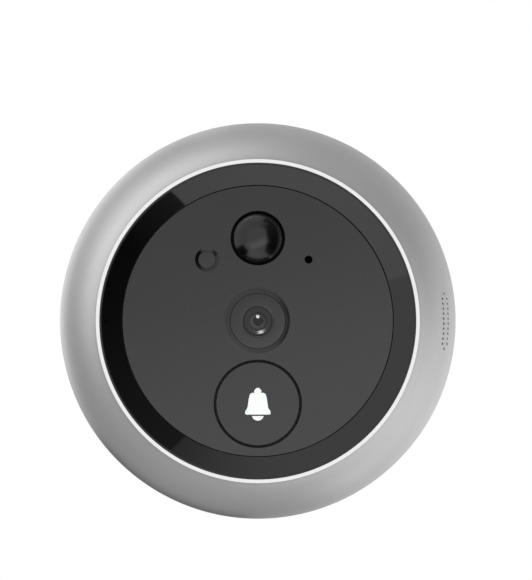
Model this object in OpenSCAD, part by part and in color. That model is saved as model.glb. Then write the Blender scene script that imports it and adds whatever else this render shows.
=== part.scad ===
// Peephole door camera, the unit on the outside of the door.
// A round silver housing frames a recessed black front, which carries a motion sensor,
// a light sensor, a microphone, a camera and a bell push. A neck on the back goes into
// the peephole, where two screws from the inside of the door clamp it.
//
// Every module is drawn as the unit is seen from outside: x to the right, y up and z out
// of the door, with z = 0 on the door. The last lines turn it so that +Z is up and the
// front looks along -Y.

/* [Housing] */
// Outside diameter of the silver housing
body_d = 64; // [63:0.5:72]
// Depth from the door to the front of the rim
body_depth = 19; // [18.5:0.5:26]
// Radius of the rounded rim
rim_r = 5.8; // [5.4:0.1:6.2]
// Wall thickness of the housing
wall_t = 1.8; // [1.4:0.1:2.2]
// Width of the polished chamfer inside the rim
chamfer_w = 0.65; // [0.3:0.05:0.9]
// Thickness of the lip behind the chamfer
lip_t = 2; // [1.6:0.1:2.4]
// How much the side wall narrows towards the door, on the radius
side_draft = 0.4; // [0:0.1:0.8]

/* [Sound holes] */
// Diameter of one sound hole
sound_hole_d = 0.55; // [0.4:0.05:0.7]
// Rows that have two holes
sound_rows = 10; // [4:2:12]
// Distance between rows
sound_pitch = 0.81; // [0.75:0.01:1]
// Distance between the two columns, along the rim
sound_column_gap = 1.05; // [0.8:0.05:1.4]
// Angle between the holes and the front, at the middle of the pattern
sound_tilt = 47; // [40:1:55]

/* [Gloss ring] */
// Width of the sloping black ring
ring_w = 3.45; // [3.2:0.05:3.6]
// How far the ring falls from the rim to the panel
ring_drop = 1.6; // [1.2:0.1:2]
// How far the ring's top lies below the chamfer
ring_sink = 0.15; // [0.05:0.05:0.3]
// Reach of the flange behind the lip
flange_w = 1.5; // [1.2:0.1:1.8]
// Thickness of the seal between flange and lip
seal_t = 0.4; // [0.3:0.1:0.8]
// Width of the ledge that carries the panel
ledge_w = 0.7; // [0.5:0.1:0.9]
// Thickness of that ledge
ledge_t = 1.2; // [0.8:0.1:1.4]
// Depth of the channel behind the slope, where the infrared lamps shine through
channel_h = 1.3; // [0.8:0.1:1.5]
// Wall on each side of that channel
channel_wall = 1; // [0.8:0.1:1.1]
// Diameter of the pinhole on the left of the slope
pinhole_d = 0.8; // [0.6:0.1:1]
// Distance of the pinhole from the rim's bore
pinhole_inset = 1.3; // [1.1:0.1:1.6]
// Diameter of a post that carries the board
post_d = 3.4; // [3:0.1:3.8]

/* [Front panel] */
// Thickness of the front panel
panel_t = 1.5; // [1.4:0.1:1.8]
// Gap round the front panel
panel_gap = 0.35; // [0.2:0.05:0.4]
// How far the panel lies below the ring's inner edge
panel_sink = 0.15; // [0:0.05:0.3]
// Broken edge of the panel and its large holes
edge_break = 0.1; // [0.05:0.05:0.25]

/* [Motion sensor] */
// How far the motion sensor sits below the middle between the camera and the panel's edge
pir_drop = 0.18; // [0:0.02:0.4]
// Diameter of the domed lens
pir_d = 7.74; // [7:0.02:8.2]
// Gap round the domed lens
pir_gap = 0.48; // [0.2:0.02:0.6]
// Rise of the dome over the panel
pir_rise = 1.5; // [1.3:0.1:2.2]
// Wall of the domed lens
pir_wall = 0.6; // [0.5:0.1:0.8]
// Width of the lens's flange behind the panel
pir_flange_w = 0.35; // [0.25:0.05:0.6]
// Thickness of that flange
pir_flange_t = 0.8; // [0.5:0.1:1.2]
// Diameter of the detector's can
can_d = 8.1; // [7.6:0.1:8.3]
// Diameter of the can's base
can_base_d = 9.1; // [8.8:0.1:9.3]
// Thickness of the can's base
can_base_t = 0.5; // [0.3:0.1:0.8]
// Width of the detector's filter
pir_filter_w = 3.6; // [3:0.1:4]
// Height of the detector's filter
pir_filter_h = 2.8; // [2.4:0.1:3.4]
// Thickness of the filter
pir_filter_t = 0.35; // [0.25:0.05:0.5]
// Diameter of a detector lead
lead_d = 0.45; // [0.4:0.05:0.5]
// Diameter of the circle that the leads stand on
lead_circle_d = 5.1; // [4.5:0.1:5.5]
// How far the leads come out behind the board
lead_tail = 0.9; // [0.5:0.1:1.4]

/* [Light sensor and microphone] */
// Distance of the light window and the microphone from the middle, sideways
eyes_x = 8.2; // [8:0.1:9]
// How far they sit below the motion sensor
eyes_drop = 3.48; // [3:0.02:4]
// Diameter of the light window's hole
light_hole_d = 3; // [2.8:0.02:3.2]
// Diameter of the slope round the light window, at the panel's face
light_mouth_d = 3.68; // [3.5:0.02:3.8]
// Depth of that slope
light_slope_h = 0.2; // [0.15:0.05:0.3]
// Gap round the light pipe
light_gap = 0.1; // [0.1:0.05:0.2]
// How far the light pipe lies below the slope
light_sink = 0.05; // [0:0.05:0.4]
// Diameter of the light pipe's flange
light_flange_d = 4.3; // [4.1:0.1:4.6]
// Thickness of the light pipe's flange
light_flange_t = 0.8; // [0.5:0.1:1.2]
// Side of the light sensor's chip
light_chip_w = 2; // [1.6:0.1:2.6]
// Height of the light sensor's chip
light_chip_t = 0.9; // [0.6:0.1:1.2]
// Diameter of the microphone hole
mic_hole_d = 1.24; // [1:0.02:1.5]
// Diameter of the microphone
mic_d = 4; // [3.6:0.1:4.4]
// Height of the microphone
mic_t = 1.5; // [1.2:0.1:2]
// Wall of the rubber boot over the microphone
mic_boot_wall = 0.85; // [0.6:0.05:1]

/* [Camera] */
// Gap between the camera opening and the button's hole
camera_gap = 0.89; // [0.7:0.01:1.2]
// Diameter of the foot of the raised rim round the camera
camera_mouth_d = 10.8; // [10:0.1:11]
// Diameter of the camera opening
camera_hole_d = 9; // [8.6:0.1:9.2]
// Steepest slope of the raised rim, in degrees
camera_slope = 30; // [20:1:40]
// Width of the rim that holds the cover glass from behind
glass_land = 0.4; // [0.4:0.05:0.6]
// Gap round the cover glass in the opening
glass_gap = 0.15; // [0.1:0.05:0.2]
// Thickness of the cover glass's flange
glass_t = 0.8; // [0.6:0.05:0.9]
// Diameter of the lens barrel
barrel_d = 4.84; // [4.4:0.02:5]
// How far the barrel lies behind the cover glass
barrel_back = 0.35; // [0.2:0.05:0.6]
// Diameter of the front lens
front_lens_d = 3.3; // [2.8:0.05:3.6]
// Thickness of the front lens at its edge
front_lens_t = 0.4; // [0.3:0.05:0.6]
// Rise of the front lens in the middle
front_lens_rise = 0.45; // [0.3:0.05:0.6]
// Diameter of the rear lens
rear_lens_d = 2.6; // [2.2:0.1:2.8]
// Thickness of the rear lens
rear_lens_t = 0.7; // [0.5:0.1:0.9]
// Diameter of the stop between the two lenses
stop_d = 1.7; // [1.2:0.1:2]
// Diameter of the rubber light shield round the barrel
shroud_d = 9.2; // [8.8:0.1:9.6]
// Side of the lens holder's square base
holder_w = 8.6; // [8:0.1:9]
// Height of that base
holder_base_h = 1.6; // [1.5:0.1:1.8]
// Height of the lens holder
holder_h = 2.6; // [2.4:0.1:2.9]
// Diameter of the holder's round neck
holder_neck_d = 7; // [6.4:0.1:7.6]
// Side of the hollow under the holder
holder_hollow_w = 6.6; // [6.2:0.1:7]
// Thickness of the infrared filter
ir_filter_t = 0.3; // [0.2:0.05:0.4]
// Width of the image sensor
sensor_w = 5.6; // [4.8:0.1:6]
// Height of the image sensor
sensor_h = 4.4; // [3.6:0.1:5.6]
// Thickness of the image sensor
sensor_t = 0.65; // [0.5:0.05:0.8]

/* [Bell push] */
// Diameter of the bell button
button_d = 13.44; // [12.6:0.02:13.6]
// Gap round the bell button
button_gap = 0.36; // [0.3:0.02:0.5]
// Distance between the button's hole and the panel's edge
button_margin = 1.3; // [1.1:0.02:1.4]
// Thickness of the button's face
button_face_t = 1; // [0.8:0.1:1.2]
// Wall of the button
button_wall = 0.9; // [0.7:0.1:1.2]
// Overlap of the button's flange behind the panel
button_catch = 0.35; // [0.2:0.05:0.4]
// Thickness of that flange
button_flange_t = 0.7; // [0.5:0.1:0.9]
// Diameter of a guide pin, which keeps the bell upright
guide_pin_d = 1.2; // [1:0.1:1.4]
// Wall of the button's ear round a guide pin
guide_ear_wall = 0.7; // [0.5:0.1:0.9]
// Travel of the button
button_travel = 0.5; // [0.3:0.05:0.6]
// Height of the bell on the button
bell_h = 5.4; // [4.5:0.1:6.5]
// Thickness of the light guide's disc
guide_t = 0.9; // [0.6:0.1:1]
// Diameter of the light guide's stem
guide_stem_d = 4; // [3:0.1:4.6]
// Side of the switch
switch_w = 4; // [3.5:0.1:4.1]
// Height of the switch's body
switch_h = 1.5; // [1.3:0.1:1.7]
// Diameter of the switch's plunger
plunger_d = 1.8; // [1.4:0.1:2.2]
// How far the plunger stands out of the switch
plunger_out = 0.8; // [0.7:0.05:0.9]
// Outside diameter of the silicone dome's foot
dome_d = 10; // [9.6:0.1:10.4]
// Width of the dome's foot
dome_foot_w = 0.8; // [0.6:0.1:0.9]
// Thickness of the dome's foot
dome_foot_t = 0.6; // [0.4:0.1:0.8]
// Wall of the dome
dome_wall = 0.45; // [0.35:0.05:0.6]
// Thickness of the dome's top
dome_top_t = 0.7; // [0.5:0.1:0.8]
// Length of a bell lamp
bell_led_w = 1.4; // [1:0.1:1.6]
// Width of a bell lamp
bell_led_h = 0.8; // [0.6:0.1:1.2]
// Height of a bell lamp
bell_led_t = 0.6; // [0.4:0.1:0.8]

/* [Boards] */
// Space between the panel and the board
board_gap = 5.15; // [5:0.05:5.7]
// Thickness of the board
board_t = 1.2; // [1:0.1:1.6]
// Space between the board's edge and the housing
board_edge = 3.6; // [3.2:0.1:4]
// Diameter of an infrared lamp's lens
ir_led_d = 2.4; // [2:0.1:2.6]
// Height of an infrared lamp
ir_led_h = 2.4; // [2:0.1:2.8]
// Side of an infrared lamp's base
ir_led_w = 3; // [2.8:0.1:3.2]
// Diameter of a board screw
board_screw_d = 1.2; // [1:0.1:1.4]
// Length of a board screw under its head
board_screw_len = 4; // [3.5:0.1:4.5]
// Diameter of a board screw's head
board_head_d = 3; // [2.6:0.1:3.2]
// Height of a board screw's head
board_head_t = 0.8; // [0.6:0.1:1]

// Side of the processor
processor_w = 9; // [7:0.5:10]
// Height of the processor
processor_t = 1; // [0.7:0.1:1.4]
// Length of the memory chip
memory_w = 8; // [6:0.5:9]
// Width of the memory chip
memory_h = 6; // [5:0.5:8]
// Height of the memory chip
memory_t = 0.9; // [0.7:0.1:1.2]
// Side of the power chip and of the coil
power_w = 4; // [3:0.5:5]
// Height of the power chip
power_t = 0.9; // [0.7:0.1:1.2]
// Height of the coil
coil_t = 2; // [1.5:0.1:2.4]
// Distance of the processor and the memory from the middle, sideways
chips_x = 12.5; // [11:0.5:13]
// Gap between the processor and the memory
chips_gap = 2; // [1:0.5:4]
// Distance of the power chip and the coil from the middle, sideways
power_x = 8; // [7:0.5:10]
// Their distance from the middle, up and down
power_y = 12; // [10:0.5:13]

/* [Speaker] */
// Length of the speaker
speaker_w = 14; // [12:0.5:16]
// Space between the speaker and the board
speaker_gap = 1.2; // [0.6:0.1:2]
// Depth of the speaker
speaker_t = 3.6; // [3:0.1:4]
// Rim round the speaker's diaphragm
speaker_rim = 0.6; // [0.4:0.1:0.8]
// Depth of the speaker's front pocket
speaker_pocket = 0.8; // [0.6:0.1:1]
// Distance of the speaker's face from the housing
speaker_inset = 5.6; // [5:0.1:6.5]
// Width of the step round the diaphragm's middle
diaphragm_step = 0.5; // [0.3:0.1:0.6]
// Thickness of the diaphragm
diaphragm_t = 0.25; // [0.2:0.05:0.35]
// Length of the magnet
magnet_w = 8; // [6:0.5:9]
// Thickness of the magnet
magnet_t = 0.8; // [0.6:0.1:1]
// Height of the speaker's cradle
cradle_h = 3; // [2:0.1:3.6]
// Wall of the speaker's cradle
cradle_wall = 1; // [0.8:0.1:1.4]
// Diameter of a speaker wire
wire_d = 0.7; // [0.5:0.05:0.9]

/* [Back] */
// Thickness of the adhesive foam on the door
foam_t = 1; // [0.6:0.1:1.4]
// Width between the neck and the foam
foam_clear = 1.5; // [1.2:0.1:3]
// Thickness of the rear cover
cover_t = 2; // [1.9:0.1:2.4]
// Height of the ribs inside the rear cover
rib_h = 1.2; // [0.8:0.1:1.5]
// Thickness of those ribs
rib_t = 1; // [0.8:0.1:1.2]
// Diameter of the neck that goes into the peephole
neck_d = 15.8; // [15.4:0.1:18]
// Length of the neck inside the door
neck_len = 6; // [5:0.5:10]
// Chamfer on the end of the neck
neck_chamfer = 0.5; // [0.3:0.1:0.6]
// Width of the cable's passage
passage_w = 5; // [4.6:0.1:5.2]
// Height of the cable's passage
passage_h = 10; // [9:0.1:11]
// Outside diameter of a threaded insert
insert_d = 4; // [3.8:0.1:4.2]
// Bore of a threaded insert
insert_bore_d = 2.5; // [2.3:0.1:2.8]
// Length of a threaded insert
insert_len = 5; // [4:0.5:6]
// Diameter of a cover screw
cover_screw_d = 1.6; // [1.4:0.1:1.8]
// Length of a cover screw under its head
cover_screw_len = 7; // [5:0.5:8]
// Diameter of a cover screw's head
cover_head_d = 3.6; // [3.2:0.1:3.8]
// Height of a cover screw's head
cover_head_t = 1; // [0.8:0.1:1.1]
// Diameter of a boss that takes a cover screw
boss_d = 4.4; // [4:0.1:4.8]
// Thickness of the web between a boss and the housing
web_t = 2.4; // [1.6:0.1:3]
// Thickness of the rear seal's cord
cord_d = 1; // [0.8:0.1:1.1]
// Width of the cable socket
socket_w = 4.6; // [4:0.1:5]
// Height of the cable socket
socket_h = 9.6; // [9.4:0.1:10]
// Wall of the cable socket
socket_wall = 0.7; // [0.5:0.1:0.8]
// Contacts in the cable socket
socket_contacts = 6; // [4:1:7]
// Distance between contacts
socket_pitch = 1.25; // [1:0.05:1.25]

/* [Hidden] */

$fn = 96;
fit_gap = 0.1;     // between pieces that slide together by hand
slip_gap = 0.05;   // between pieces that sit close or are bonded
cut = 1;           // how far a cutting shape runs past the face it opens

// Where the housing's own surfaces are
body_r = body_d / 2;
shoulder_r = body_r - rim_r;
shoulder_z = body_depth - rim_r;
opening_r = shoulder_r - chamfer_w;
chamfer_z = body_depth - chamfer_w;
lip_z = body_depth - lip_t;
cavity_r = body_r - side_draft - wall_t;

// The gloss ring and the panel, from the front backwards
ring_r = opening_r - fit_gap;
ring_top = chamfer_z - ring_sink;
ring_foot = ring_top - ring_drop;
pocket_r = opening_r - ring_w;
panel_r = pocket_r - panel_gap;
panel_z = ring_foot - panel_sink;
panel_back = panel_z - panel_t;
ledge_r = pocket_r - ledge_w;
ring_base = panel_back - ledge_t;
flange_r = opening_r + flange_w;
flange_top = lip_z - seal_t;
channel_in_r = ledge_r + channel_wall;
channel_out_r = flange_r - channel_wall;
channel_top = ring_base + channel_h;
post_pc = (channel_in_r + channel_out_r) / 2;
post_angles = [22.5, 112.5, 202.5, 292.5];
lamp_angles = [67.5, 157.5, 247.5, 337.5];
post_pilot_d = board_screw_d + 2 * slip_gap;

// The board
board_top = panel_back - board_gap;
board_back = board_top - board_t;
board_r = cavity_r - board_edge;
board_hole_d = board_screw_d + 2 * fit_gap;

// The back
cover_top = foam_t + cover_t;
cover_r = cavity_r - fit_gap;
groove_r = cavity_r - cord_d - 2 * slip_gap;
cover_land = 0.45;
cover_head_bore_d = cover_head_d + 2 * fit_gap;
cover_head_sink = fit_gap;
boss_pc = groove_r - cover_land - cover_head_bore_d / 2;
boss_angles = [45, 135, 225, 315];
boss_gap = 1.5;
boss_top = ring_base - boss_gap;
clamp_x = (passage_w + neck_d) / 4;
rib_ring_r = neck_d / 2 + rib_t;
rib_end_r = boss_pc - boss_d / 2 - rib_t;
rib_angles = [30, 60, 90, 120, 150, 210, 240, 270, 300, 330];
foam_edge = 0.3;
foam_in_r = neck_d / 2 + foam_clear;
foam_out_r = boss_pc - cover_head_bore_d / 2 - foam_edge;

// The bell push
button_r = button_d / 2;
button_hole_r = button_r + button_gap;
button_y = -(panel_r - button_margin - button_hole_r);
button_flange_r = button_hole_r + button_catch;
button_stop = panel_back - slip_gap;
button_base = button_stop - button_flange_t;
button_roof = panel_z - button_face_t;
guide_top = button_roof - slip_gap;
guide_base = guide_top - guide_t;
plunger_top = board_top + switch_h + plunger_out;
nub_base = plunger_top + slip_gap;
nub_h = 0.35;
dome_top = nub_base + nub_h + dome_top_t;
guide_foot = dome_top + slip_gap;
switch_floor = 0.2;
ear_hole_r = guide_pin_d / 2 + fit_gap;
ear_r = ear_hole_r + guide_ear_wall;
ear_x = button_flange_r + ear_hole_r;
guide_pin_end = button_base - button_travel - ear_hole_r;

// The camera
camera_y = button_y + button_hole_r + camera_gap + camera_mouth_d / 2;
camera_curve_r = (camera_mouth_d - camera_hole_d) / 2 / sin(camera_slope);
camera_rise = camera_curve_r * (1 - cos(camera_slope));
glass_r = camera_hole_d / 2 + glass_land;
glass_z = panel_back + glass_t;
shroud_top = panel_back - slip_gap;
barrel_top = panel_back - barrel_back;
holder_top = board_top + holder_h;
holder_roof_t = 0.4;
holder_roof = board_top + holder_base_h - holder_roof_t;
front_lens_edge = barrel_top - front_lens_rise;
front_lens_base = front_lens_edge - front_lens_t;
barrel_base = holder_roof + slip_gap;
rear_lens_setback = 0.2;
rear_lens_base = barrel_base + rear_lens_setback;
barrel_rim = 0.25;
stop_bevel = 0.2;

// The motion sensor, with the light window and the microphone beside it
pir_r = pir_d / 2;
pir_hole_r = pir_r + pir_gap;
pir_flange_r = pir_hole_r + pir_flange_w;
pir_base = panel_back - pir_flange_t;
can_gap = 0.3;
can_top = pir_base - can_gap;
pir_y = (camera_y + camera_mouth_d / 2 + panel_r) / 2 - pir_drop;
eyes_y = pir_y - eyes_drop;

// The speaker, with its face to the right
speaker_face = cavity_r - speaker_inset;
speaker_rear = speaker_face - speaker_t;
speaker_h = board_back - cover_top - speaker_gap;
speaker_mid_z = cover_top + speaker_h / 2;
board_notch_x = speaker_face + 2 * fit_gap;

// The cable socket
socket_mouth = cover_top + 4 * fit_gap;
socket_floor = board_back - socket_wall;

// Points of an arc, anticlockwise from one angle to the other
function arc(centre, r, from, to, steps) =
    [for (i = [0 : steps]) let (a = from + (to - from) * i / steps) centre + r * [cos(a), sin(a)]];

// A ring with a rectangular section
module ring(inner_r, outer_r, low, high) {
    rotate_extrude() translate([inner_r, low]) square([outer_r - inner_r, high - low]);
}

// A block that stands on z, centred sideways
module block(size, low) {
    translate([-size[0] / 2, -size[1] / 2, low]) cube(size);
}

// A round bar between two heights
module bar(r, low, high) {
    translate([0, 0, low]) cylinder(r = r, h = high - low);
}

// A bar that cuts right through from below low to above high
module hole(r, low, high) {
    bar(r, low - cut, high + cut);
}

// A screw that points out of the door, with its head's underside at z
module screw(d, len, head_d, head_t, z) {
    slot_w = head_d / 6;
    slot_l = head_d * 0.62;
    slot_h = head_t / 2;
    bar(d / 2, z, z + len);
    difference() {
        bar(head_d / 2, z - head_t, z);
        for (a = [0, 90]) rotate([0, 0, a]) block([slot_l, slot_w, slot_h + cut], z - head_t - cut);
    }
}

// Housing

// Half section of the housing: a rounded rim, a chamfered bore and a tapered side wall
module housing_section() {
    difference() {
        union() {
            intersection() {
                translate([shoulder_r, shoulder_z]) circle(r = rim_r);
                translate([shoulder_r, shoulder_z]) square(rim_r + cut);
            }
            polygon([
                [opening_r, foam_t], [body_r - side_draft, foam_t], [body_r, shoulder_z],
                [shoulder_r, shoulder_z], [shoulder_r, body_depth], [opening_r, chamfer_z]
            ]);
        }
        polygon([
            [opening_r - cut, foam_t - cut], [cavity_r, foam_t - cut], [cavity_r, shoulder_z],
            [flange_r + 2 * fit_gap, lip_z], [opening_r - cut, lip_z]
        ]);
    }
}

// One sound hole, square to the rim at an angle from the front and a height over the middle
module sound_hole(tilt, height) {
    around = asin(height / (shoulder_r + rim_r * sin(tilt)));
    rotate([0, 0, around]) translate([shoulder_r, 0, shoulder_z]) rotate([0, tilt, 0])
        translate([0, 0, rim_r - wall_t - 2 * cut])
            cylinder(d = sound_hole_d, h = wall_t + 3 * cut, $fn = 24);
}

// Two columns of sound holes, closed by a single hole at each end
module sound_holes() {
    half_columns = sound_column_gap / 2 / rim_r * 180 / PI;
    reach = (sound_rows + 1) / 2 * sound_pitch;
    for (row = [0 : sound_rows - 1], side = [-1, 1])
        sound_hole(sound_tilt + side * half_columns, (row - (sound_rows - 1) / 2) * sound_pitch);
    for (end = [-1, 1]) sound_hole(sound_tilt, end * reach);
}

// The bosses for the cover screws, each tied to the wall by a web
module cover_bosses() {
    for (a = boss_angles) rotate([0, 0, a]) translate([boss_pc, 0, 0]) difference() {
        union() {
            bar(boss_d / 2, cover_top, boss_top);
            translate([0, -web_t / 2, cover_top])
                cube([cavity_r + wall_t / 2 - boss_pc, web_t, boss_top - cover_top]);
        }
        bar(cover_screw_d / 2 + slip_gap, cover_top - cut, foam_t + cover_head_sink
            + cover_head_t + cover_screw_len + 2 * fit_gap);
    }
}

module housing() {
    color("silver") {
        difference() {
            rotate([0, 0, 180]) rotate_extrude() housing_section();
            sound_holes();
        }
        cover_bosses();
    }
}

// A thin membrane behind the sound holes keeps water out
module sound_membrane() {
    membrane_t = 0.2;
    half_angle = asin((sound_rows + 3) / 2 * sound_pitch / shoulder_r);
    slope = [flange_r + 2 * fit_gap - cavity_r, lip_z - shoulder_z];
    along = slope / norm(slope);
    inward = [-along[1], along[0]];
    low = [cavity_r, shoulder_z] + along * 0.12 * norm(slope) + inward * slip_gap;
    high = [cavity_r, shoulder_z] + along * 0.88 * norm(slope) + inward * slip_gap;
    color("dimgray") rotate([0, 0, -half_angle]) rotate_extrude(angle = 2 * half_angle)
        polygon([low, high, high + inward * membrane_t, low + inward * membrane_t]);
}

// Black front

module gloss_ring() {
    color("black") difference() {
        union() {
            difference() {
                rotate_extrude() polygon([
                    [ring_r, ring_top], [pocket_r, ring_foot], [pocket_r, panel_back],
                    [ledge_r, panel_back], [ledge_r, ring_base], [flange_r, ring_base],
                    [flange_r, flange_top], [ring_r, flange_top]
                ]);
                ring(channel_in_r, channel_out_r, ring_base - cut, channel_top);
            }
            for (a = post_angles) rotate([0, 0, a]) translate([post_pc, 0, 0])
                bar(post_d / 2, board_top, channel_top + slip_gap);
        }
        for (a = post_angles) rotate([0, 0, a]) translate([post_pc, 0, 0])
            bar(post_pilot_d / 2, board_top - cut, board_back + board_screw_len + fit_gap);
        translate([-(opening_r - pinhole_inset), 0, 0])
            hole(pinhole_d / 2, ring_base, ring_top);
    }
}

module ring_seal() {
    color("dimgray") ring(opening_r + fit_gap, flange_r - fit_gap, flange_top, lip_z);
}

// A slope round a hole in the panel's face, from the hole's edge out to its mouth
module countersink(r, mouth_r, depth) {
    translate([0, 0, panel_z - depth])
        cylinder(r1 = r, r2 = mouth_r + (mouth_r - r) / depth * cut, h = depth + cut);
}

// The panel's face sweeps up to a low rim round the camera
module camera_rim() {
    translate([0, camera_y, 0]) rotate_extrude() polygon(concat(
        [[camera_hole_d / 2 - glass_gap, panel_back], [camera_mouth_d / 2, panel_back]],
        arc([camera_mouth_d / 2, panel_z + camera_curve_r], camera_curve_r, 270, 270 - camera_slope, 6),
        [[camera_hole_d / 2 - glass_gap, panel_z + camera_rise]]
    ));
}

module front_panel() {
    color([0.09, 0.09, 0.09]) difference() {
        union() {
            rotate_extrude() polygon([
                [0, panel_back], [panel_r, panel_back], [panel_r, panel_z - edge_break],
                [panel_r - edge_break, panel_z], [0, panel_z]
            ]);
            camera_rim();
        }
        translate([0, pir_y, 0]) {
            hole(pir_hole_r, panel_back, panel_z);
            countersink(pir_hole_r, pir_hole_r + edge_break, edge_break);
        }
        translate([-eyes_x, eyes_y, 0]) {
            hole(light_hole_d / 2, panel_back, panel_z);
            countersink(light_hole_d / 2, light_mouth_d / 2, light_slope_h);
        }
        translate([eyes_x, eyes_y, 0]) hole(mic_hole_d / 2, panel_back, panel_z);
        translate([0, camera_y, 0]) {
            hole(camera_hole_d / 2, panel_back, panel_z + camera_rise);
            bar(glass_r + slip_gap, panel_back - cut, glass_z);
        }
        translate([0, button_y, 0]) {
            hole(button_hole_r, panel_back, panel_z);
            countersink(button_hole_r, button_hole_r + edge_break, edge_break);
        }
    }
    color([0.09, 0.09, 0.09]) for (side = [-1, 1]) translate([side * ear_x, button_y, 0])
        bar(guide_pin_d / 2, guide_pin_end, panel_back + slip_gap);
}

// Motion sensor

// Half section of a dome that stands on a tube, closed by a spherical cap
module dome_section(r, rise, low, spring) {
    sphere_r = (r * r + rise * rise) / (2 * rise);
    translate([0, low]) square([r, spring - low]);
    intersection() {
        translate([0, spring + rise - sphere_r]) circle(r = sphere_r);
        translate([0, spring]) square([r, rise + cut]);
    }
}

module pir_lens() {
    color([0.05, 0.05, 0.05]) translate([0, pir_y, 0]) rotate_extrude() difference() {
        union() {
            dome_section(pir_r, pir_rise, pir_base, panel_z);
            translate([0, pir_base]) square([pir_flange_r, panel_back - pir_base]);
        }
        dome_section(pir_r - pir_wall, pir_rise - pir_wall / 2, pir_base - cut, panel_z - pir_wall / 2);
    }
}

module pir_can() {
    color("lightgray") translate([0, pir_y, 0]) {
        difference() {
            union() {
                bar(can_base_d / 2, board_top, board_top + can_base_t);
                bar(can_d / 2, board_top, can_top);
            }
            block([pir_filter_w + 2 * slip_gap, pir_filter_h + 2 * slip_gap, pir_filter_t + cut],
                can_top - pir_filter_t);
        }
        for (a = [45, 135, 270]) rotate([0, 0, a]) translate([lead_circle_d / 2, 0, 0])
            bar(lead_d / 2, board_back - lead_tail, board_top + slip_gap);
    }
}

module pir_filter() {
    color("darkslategray") translate([0, pir_y, 0])
        block([pir_filter_w, pir_filter_h, pir_filter_t], can_top - pir_filter_t);
}

// Light sensor and microphone

module light_pipe() {
    color("dimgray") translate([-eyes_x, eyes_y, 0]) {
        bar(light_hole_d / 2 - light_gap, board_top + light_chip_t + fit_gap,
            panel_z - light_slope_h - light_sink);
        bar(light_flange_d / 2, panel_back - light_flange_t, panel_back);
    }
}

module light_sensor() {
    color("darkslategray") translate([-eyes_x, eyes_y, 0])
        block([light_chip_w, light_chip_w, light_chip_t], board_top);
}

module mic_boot() {
    color([0.15, 0.15, 0.15]) translate([eyes_x, eyes_y, 0]) difference() {
        bar(mic_d / 2 + mic_boot_wall, board_top, panel_back);
        bar(mic_d / 2 + slip_gap, board_top - cut, board_top + mic_t + slip_gap);
        hole(mic_hole_d / 2, board_top, panel_back);
    }
}

module microphone() {
    color("silver") translate([eyes_x, eyes_y, 0]) bar(mic_d / 2, board_top, board_top + mic_t);
}

// Camera

module camera_window() {
    color([0.2, 0.22, 0.24, 0.5]) translate([0, camera_y, 0]) {
        bar(glass_r, panel_back, glass_z);
        bar(camera_hole_d / 2 - glass_gap, panel_back, panel_z + camera_rise);
    }
}

module lens_shroud() {
    color([0.04, 0.04, 0.04]) translate([0, camera_y, 0])
        ring(barrel_d / 2 + fit_gap, shroud_d / 2, holder_top, shroud_top);
}

module lens_barrel() {
    color([0.06, 0.06, 0.06]) translate([0, camera_y, 0]) rotate_extrude() polygon([
        [rear_lens_d / 2 + slip_gap, barrel_base], [barrel_d / 2, barrel_base],
        [barrel_d / 2, barrel_top], [barrel_d / 2 - barrel_rim, barrel_top],
        [front_lens_d / 2 + slip_gap, front_lens_edge], [front_lens_d / 2 + slip_gap, front_lens_base],
        [stop_d / 2, front_lens_base - stop_bevel], [stop_d / 2, rear_lens_base + rear_lens_t + slip_gap],
        [rear_lens_d / 2 + slip_gap, rear_lens_base + rear_lens_t + slip_gap]
    ]);
}

module front_lens() {
    color([0.25, 0.3, 0.38, 0.6]) translate([0, camera_y, 0]) rotate_extrude()
        dome_section(front_lens_d / 2, front_lens_rise, front_lens_base, front_lens_edge);
}

module rear_lens() {
    color([0.3, 0.35, 0.4, 0.6]) translate([0, camera_y, 0])
        bar(rear_lens_d / 2, rear_lens_base, rear_lens_base + rear_lens_t);
}

module lens_holder() {
    color([0.08, 0.08, 0.08]) translate([0, camera_y, 0]) difference() {
        union() {
            block([holder_w, holder_w, holder_base_h], board_top);
            bar(holder_neck_d / 2, board_top, holder_top);
        }
        block([holder_hollow_w, holder_hollow_w, holder_roof - board_top + cut], board_top - cut);
        hole(barrel_d / 2 + slip_gap, holder_roof, holder_top);
    }
}

module ir_filter() {
    side = barrel_d + 4 * fit_gap;
    color("lightcyan") translate([0, camera_y, 0])
        block([side, side, ir_filter_t], holder_roof - ir_filter_t);
}

module image_sensor() {
    color("darkolivegreen") translate([0, camera_y, 0]) block([sensor_w, sensor_h, sensor_t], board_top);
}

// Bell push

// Right half of a hand bell that is 2 units high, from its crown down to its lip
function bell_half() = concat(
    arc([0, 0.8], 0.19, 90, 25, 5),
    [[0.24, 0.8], [0.2, 0.71]],
    arc([0.3, 0.46], 0.22, 97, 8, 8),
    [[0.565, 0.28], [0.6, 0]],
    arc([1.02, -0.11], 0.4, 182, 232, 8),
    arc([0.69, -0.56], 0.1, 40, -90, 6)
);

// The direction square to an edge, on its left as one walks along it
function leftward(from, to) = let (along = to - from) [-along[1], along[0]] / norm(along);

// A clockwise outline with every edge moved out by grow
function grown(outline, grow) = [for (i = [0 : len(outline) - 1]) let (
    here = outline[i],
    a = leftward(outline[(i + len(outline) - 1) % len(outline)], here),
    b = leftward(here, outline[(i + 1) % len(outline)])
) here + grow * (a + b) / (1 + a * b)];

// The bell and, below a narrow gap, its clapper, with their outline moved out by grow
module bell_outline(grow) {
    half = bell_half() * bell_h / 2;
    left = [for (i = [len(half) - 1 : -1 : 1]) [-half[i][0], half[i][1]]];
    polygon(grown(concat(half, left), grow));
    polygon(grown(arc([0, -0.67], 0.37, 348, 192, 12) * bell_h / 2, grow));
}

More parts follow.
